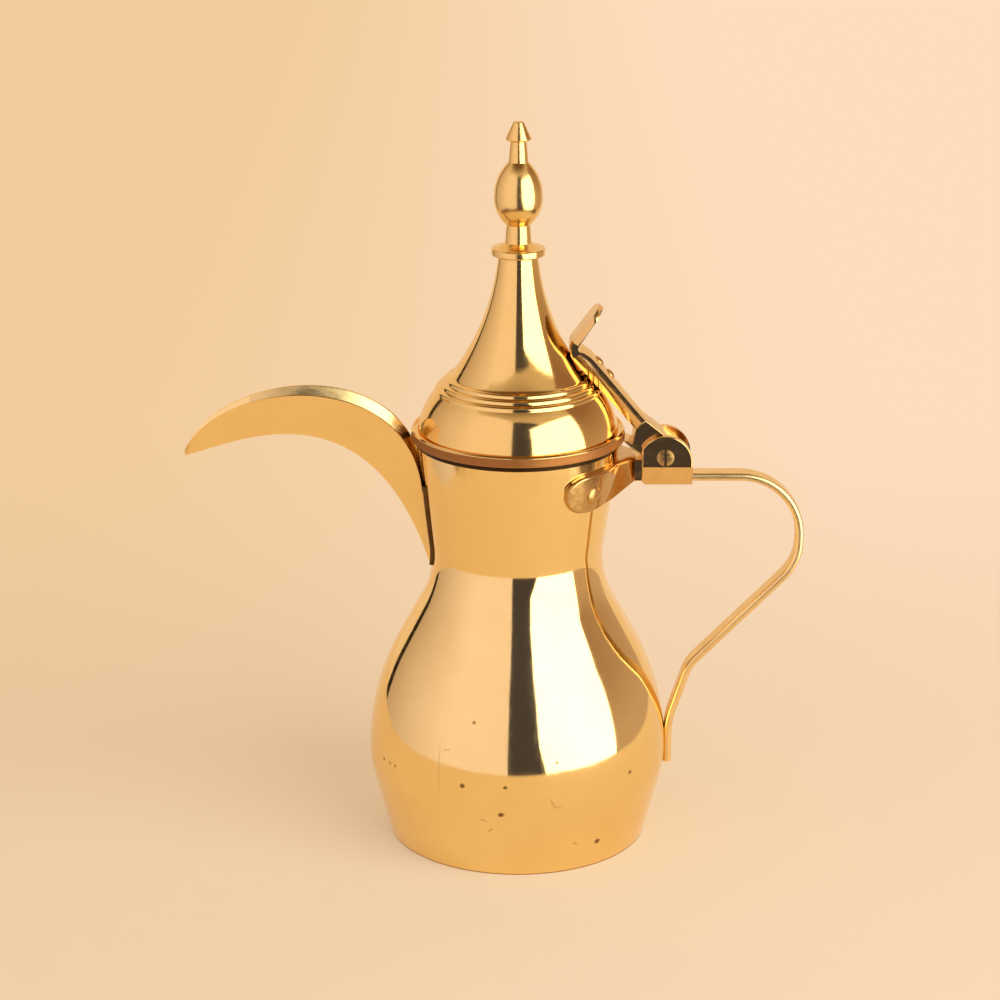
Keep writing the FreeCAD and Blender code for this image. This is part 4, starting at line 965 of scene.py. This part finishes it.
# Width, side and crown at a share of the lever's run, eased between the rows of its form
def leverAt(share):
    for (s0, *low), (s1, *high) in zip(leverForm, leverForm[1:]):
        if s0 <= share <= s1:
            blend = (share - s0) / (s1 - s0)
            blend = blend * blend * (3 - 2 * blend)
            return [a + (b - a) * blend for a, b in zip(low, high)]
    return list(leverForm[-1][1:])


leverVerts = []
walked = 0
for at, place in enumerate(leverLine):
    before, after = leverLine[max(at - 1, 0)], leverLine[min(at + 1, len(leverLine) - 1)]
    walked += (place - before).length
    along = (after - before).normalized()
    out = Vector((along.y, -along.x))
    width, side, crown = leverAt(min(1, walked / leverLength))
    left = leverLength - walked
    # the thumb end is a half oval in plan
    if left < lever.tipRound:
        width *= sqrt(max(lever.tipBlunt, 1 - (1 - left / lever.tipRound) ** 2))
    radius = (width ** 2 / 4 + (crown - side) ** 2) / (2 * (crown - side))
    section = [(-width / 2 + lever.edge, 0), (width / 2 - lever.edge, 0), (width / 2, lever.edge)]
    crownFirst = len(section)
    spread = asin(min(1, width / 2 / radius))
    for step in range(lever.crownSteps + 1):
        turn = spread * (1 - 2 * step / lever.crownSteps)
        section.append((radius * sin(turn), crown - radius * (1 - cos(turn))))
    section.append((-width / 2, lever.edge))
    ringLength = len(section)
    for y, up in section:
        spot = place + out * up
        leverVerts.append((spot.x * mm, y * mm, spot.y * mm))
leverFaces = rowFaces(len(leverLine), ringLength, closedRing=True)
lastRing = (len(leverLine) - 1) * ringLength
leverFaces.append(list(range(ringLength))[::-1])
leverFaces.append(list(range(lastRing, lastRing + ringLength)))
thumbLever = meshObject("thumbLever", leverVerts, [], leverFaces)
# the crown is brushed and takes the paler strap brass, partly a painted lighter top; the sides are left as
# filed
paint(thumbLever, castBrass, strapBrass)
# painted light: the crown faces get the paler brass, the sides keep the darker cast brass
for ring in range(0, lastRing, ringLength):
    for at in range(crownFirst, crownFirst + lever.crownSteps):
        thumbLever.data.polygons[ring + at].material_index = 1
tidyMesh(thumbLever, lever.sharp)
dress(thumbLever, "lid", "thumb_lever")

leverRivetSizes = {
    "count": 2, "first": 23.0, "step": 7.0, "sink": 0.1, "head": 2.3, "rise": 1.1, "shank": 1.4, "tail": 10.0}
legOut = Vector((legAlong.y, -legAlong.x))
leverSeats = []
for step in range(leverRivetSizes["count"]):
    run = leverRivetSizes["first"] + step * leverRivetSizes["step"]
    crown = leverAt(run / leverLength)[2]
    spot = leverFoot + legAlong * run + legOut * (crown - leverRivetSizes["sink"])
    leverSeats.append((Vector((spot.x, 0, spot.y)), Vector((legOut.x, 0, legOut.y))))
riveted("leverRivets", leverSeats, leverRivetSizes, "lid", "lever_rivets")

# Knuckle: arm under the flange, seat of the lever and barrel on the pin
knuckleSizes = {
    "width": 12.0, "barrel": 6.8, "topAngle": 43.0, "heelAngle": 195.0, "heelOut": 2.7, "heelDrop": 3.6,
    "notchOut": 2.8, "notchDrop": 1.2, "edge": 0.45, "bore": 2.55, "boreSteps": 64, "boreReach": 20,
    "seatIn": 0.4, "clear": 0.02}
knuckle = SimpleNamespace(**knuckleSizes)


def barrelPlace(angle):
    turn = radians(angle)
    return Vector((pin.x + knuckle.barrel * cos(turn), pin.z + knuckle.barrel * sin(turn)))


barrelMiddle = Vector((pin.x, pin.z - knuckle.barrel))
armTop = lidFoot - knuckle.clear
knuckleOutline = [
    Vector((flangeRadius - lid.lip, armTop)),
    Vector((flangeRadius + knuckle.heelOut, lidFoot - knuckle.heelDrop))]
knuckleOutline += arcPoints(barrelPlace(knuckle.heelAngle), barrelMiddle, knuckle.barrel, 1)
knuckleOutline += arcPoints(barrelMiddle, barrelPlace(knuckle.topAngle), knuckle.barrel, 1)[1:]
knuckleOutline += [
    leverFoot + legOut * (leverForm[0][3] - knuckle.seatIn),
    leverFoot,
    Vector((flangeRadius + knuckle.notchOut, lidFoot - knuckle.notchDrop)),
    Vector((flangeRadius, armTop))]
lidKnuckle = cutFromPlate(
    "lidHingeKnuckle", knuckleOutline, -knuckle.width / 2, knuckle.width / 2, knuckle.edge)
boreOutline = [
    (pin.x + x, pin.z + z) for x, z in ovalPoints(knuckle.bore, knuckle.bore, knuckle.boreSteps)]
carve(lidKnuckle, cutFromPlate("knuckleBore", boreOutline, -knuckle.boreReach, knuckle.boreReach))
weightNormals(lidKnuckle)
dress(lidKnuckle, "lid", "lid_hinge_knuckle", castBrass)
print("lever, rivets and knuckle made")

# Camera at the photograph's place
cameraSizes = {"lens": 105.0, "sensor": 36.0, "across": -7.3, "back": 1134.6, "up": 518.4, "pitch": 18.29}
view = SimpleNamespace(**cameraSizes)
cameraData = bpy.data.cameras.new("camera")
cameraData.lens, cameraData.sensor_width = view.lens, view.sensor
camera = newObject("camera", cameraData)
camera.location = Vector((view.across, -view.back, view.up)) * mm
camera.rotation_euler = (radians(90 - view.pitch), 0, 0)
bpy.context.scene.camera = camera
bpy.context.scene.view_settings.view_transform = "Standard"

# Studio, in metres: pale peach table, cards that only light and show in the metal.
# A glow is colour, strength, fade to a second tone along an axis, and strength as seen in the metal
studioSizes = {
    "floor": "#ECDCC1", "paperLeft": "#F2CC9D", "paperRight": "#FDDDBC", "reach": 4.0, "apronDrop": 0.0004,
    "board": 0.315, "boardSteps": 24, "boardBack": [(0.36, 0.3), (1.2, 4.0), (-1.2, 4.0), (-0.36, 0.3)],
    "bottom": -0.85, "top": 2.2, "softboxAngle": 48, "softboxAway": 1.6,
    "softboxRim": [(-1.0, 1.6), (-1.0, 0.15), (-0.54, -0.85), (1.0, -0.85), (1.0, 1.6)],
    "softbox": ("#FFFDF8", 4.2, None, 3.3),
    "whiteCard": ("#FFECEE", 1.05, ("Y", -1.1, 1.5, "#BFA998")),
    "flag": ("#4B4854", 1.0),
    "doorway": ("#241E1A", 1.0),
    "rightWall": ("#CBAE97", 1.0, ("Z", -0.1, 1.3, "#9C7862"))}
studio = SimpleNamespace(**studioSizes)


def flatPanel(name, corners, material):
    piece = meshObject(name, corners, [], [range(len(corners))])
    paint(piece, material)
    return piece


def glowing(name, color, strength, fade=None, seen=None):
    material = bpy.data.materials.new(name)
    material.use_nodes = True
    tree = material.node_tree
    tree.nodes.clear()
    glow = addNode(tree, "ShaderNodeEmission", {"Color": linear(color), "Strength": strength})
    if fade:
        axis, start, finish, farColor = fade
        place = addNode(tree, "ShaderNodeTexCoord").outputs["Object"]
        spot = addNode(tree, "ShaderNodeSeparateXYZ", {0: place}).outputs
        ramp = addNode(tree, "ShaderNodeMapRange", {
            "Value": spot[axis], "From Min": start, "From Max": finish})
        tones = addNode(tree, "ShaderNodeMix", {
            "Factor": ramp, 6: linear(color), 7: linear(farColor)}, data_type="RGBA")
        tree.links.new(tones.outputs[2], glow.inputs["Color"])
    if seen:
        path = addNode(tree, "ShaderNodeLightPath").outputs
        level = addNode(tree, "ShaderNodeMapRange", {
            "Value": path["Is Glossy Ray"], "To Min": strength, "To Max": seen})
        tree.links.new(level.outputs[0], glow.inputs["Strength"])
    addNode(tree, "ShaderNodeOutputMaterial", {"Surface": glow})
    return material


floorPaint = bpy.data.materials.new("matt paper, peach")
floorPaint.use_nodes = True
floorTree = floorPaint.node_tree
floorShader = floorTree.nodes["Principled BSDF"]
floorShader.inputs["Base Color"].default_value = linear(studio.floor)
floorShader.inputs["Roughness"].default_value = 0.9
floorShader.inputs["Specular IOR Level"].default_value = 0.1
# the paper keeps a glowing tone towards the back, for the camera and in the metal; the glow is painted darker
# on the left, shade where the softbox's light falls off
floorPlace = addNode(floorTree, "ShaderNodeTexCoord").outputs["Object"]
floorSpot = addNode(floorTree, "ShaderNodeSeparateXYZ", {0: floorPlace}).outputs
floorRay = addNode(floorTree, "ShaderNodeLightPath").outputs
# painted shade: the floor's glow darkens towards the left, away from the softbox
floorSide = addNode(floorTree, "ShaderNodeMapRange", {
    "Value": floorSpot["X"], "From Min": -0.3, "From Max": 0.25}, interpolation_type="SMOOTHSTEP")
floorTone = addNode(floorTree, "ShaderNodeMix", {
    "Factor": floorSide, 6: linear(studio.paperLeft), 7: linear(studio.paperRight)}, data_type="RGBA")
floorGlow = addNode(floorTree, "ShaderNodeEmission", {"Color": floorTone.outputs[2], "Strength": 1.0})
floorFar = addNode(floorTree, "ShaderNodeMapRange", {
    "Value": floorSpot["Y"], "From Min": -0.05, "From Max": 0.6, "To Min": 0.35, "To Max": 1.0},
    interpolation_type="SMOOTHSTEP")
floorSeen = addNode(floorTree, "ShaderNodeMath", {
    0: floorRay["Is Camera Ray"], 1: floorRay["Is Glossy Ray"]}, operation="MAXIMUM")
floorShare = addNode(floorTree, "ShaderNodeMath", {0: floorSeen, 1: floorFar}, operation="MULTIPLY")
floorMix = addNode(floorTree, "ShaderNodeMixShader", {0: floorShare, 1: floorShader, 2: floorGlow})
floorTree.links.new(floorMix.outputs[0], floorTree.nodes["Material Output"].inputs["Surface"])
# the board ends just out of the picture in front, which shows as the low edge in the belly
boardTurns = [pi * (1 + at / studio.boardSteps) for at in range(studio.boardSteps + 1)]
boardRim = [(studio.board * cos(turn), studio.board * sin(turn)) for turn in boardTurns]
flatPanel("table", [(x, y, 0) for x, y in boardRim + studio.boardBack], floorPaint)
apronRim = rectangle(-studio.reach, studio.reach, -studio.reach, studio.reach)
apron = flatPanel("apron", [(x, y, -studio.apronDrop) for x, y in apronRim], floorPaint)
apron.visible_glossy = False

# the softbox's lower left corner is hidden behind the flag
softboxTurn = radians(studio.softboxAngle)
softboxFacing = Vector((sin(softboxTurn), -cos(softboxTurn)))
softboxAcross = Vector((cos(softboxTurn), sin(softboxTurn)))
softboxCorners = [(*(softboxFacing * studio.softboxAway + softboxAcross * across), up)
                  for across, up in studio.softboxRim]
softbox = flatPanel("softbox", softboxCorners, glowing("softbox cloth", *studio.softbox))
softbox.visible_camera = False
whiteCard = glowing("white card", *studio.whiteCard)
# upright cards: material and both ends in plan
cards = {
    "leftCard": (whiteCard, (-1.75, 1.42), (-1.75, -0.9)),
    "frontCard": (whiteCard, (-1.75, -0.9), (-0.24, -1.82)),
    "flag": (glowing("black cloth", *studio.flag), (-0.24, -1.82), (1.0, -1.9)),
    "doorway": (glowing("dark doorway", *studio.doorway), (-1.75, 1.8), (-1.75, 1.42)),
    "rightWall": (glowing("brown wall", *studio.rightWall), (1.92, -0.3), (1.92, 2.0))}
for name, (material, start, finish) in cards.items():
    low, high = studio.bottom, studio.top
    corners = [(*start, low), (*finish, low), (*finish, high), (*start, high)]
    flatPanel(name, corners, material).visible_camera = False

# Room round the cards: brown below, paler above, paper behind, a dark ceiling that only the metal shows
roomTones = {
    "low": "#6B4C35", "level": "#C3A68F", "levelShare": 0.3, "high": "#E6D2BC", "behind": "#FBDDB8",
    "ceiling": "#745638", "paper": "#F8D8AE"}
room = SimpleNamespace(**roomTones)
world = bpy.data.worlds.new("room")
bpy.context.scene.world = world
world.use_nodes = True
worldTree = world.node_tree
worldTree.nodes.clear()
ray = addNode(worldTree, "ShaderNodeLightPath").outputs
way = addNode(worldTree, "ShaderNodeTexCoord").outputs["Generated"]
toward = addNode(worldTree, "ShaderNodeSeparateXYZ", {0: way}).outputs
climb = addNode(worldTree, "ShaderNodeMapRange", {
    "Value": toward["Z"], "From Min": -0.3, "From Max": 0.9})
walls = addNode(worldTree, "ShaderNodeValToRGB", {0: climb})
walls.color_ramp.elements[0].color = linear(room.low)
walls.color_ramp.elements[1].color = linear(room.high)
walls.color_ramp.elements.new(room.levelShare).color = linear(room.level)
behind = addNode(worldTree, "ShaderNodeMapRange", {
    "Value": toward["Y"], "From Min": 0.15, "From Max": 0.5}, interpolation_type="SMOOTHSTEP")
roomTone = addNode(worldTree, "ShaderNodeMix", {
    "Factor": behind, 6: walls.outputs[0], 7: linear(room.behind)}, data_type="RGBA")
overhead = addNode(worldTree, "ShaderNodeMapRange", {
    "Value": toward["Z"], "From Min": 0.74, "From Max": 0.93}, interpolation_type="SMOOTHSTEP")
inMetal = addNode(worldTree, "ShaderNodeMath", {0: overhead, 1: ray["Is Glossy Ray"]}, operation="MULTIPLY")
ceiling = addNode(worldTree, "ShaderNodeMix", {
    "Factor": inMetal, 6: roomTone.outputs[2], 7: linear(room.ceiling)}, data_type="RGBA")
roomLight = addNode(worldTree, "ShaderNodeBackground", {"Color": ceiling.outputs[2], "Strength": 0.95})
paper = addNode(worldTree, "ShaderNodeBackground", {"Color": linear(room.paper), "Strength": 1.0})
worldMix = addNode(worldTree, "ShaderNodeMixShader", {0: ray["Is Camera Ray"], 1: roomLight, 2: paper})
addNode(worldTree, "ShaderNodeOutputWorld", {0: worldMix})
print("studio set")
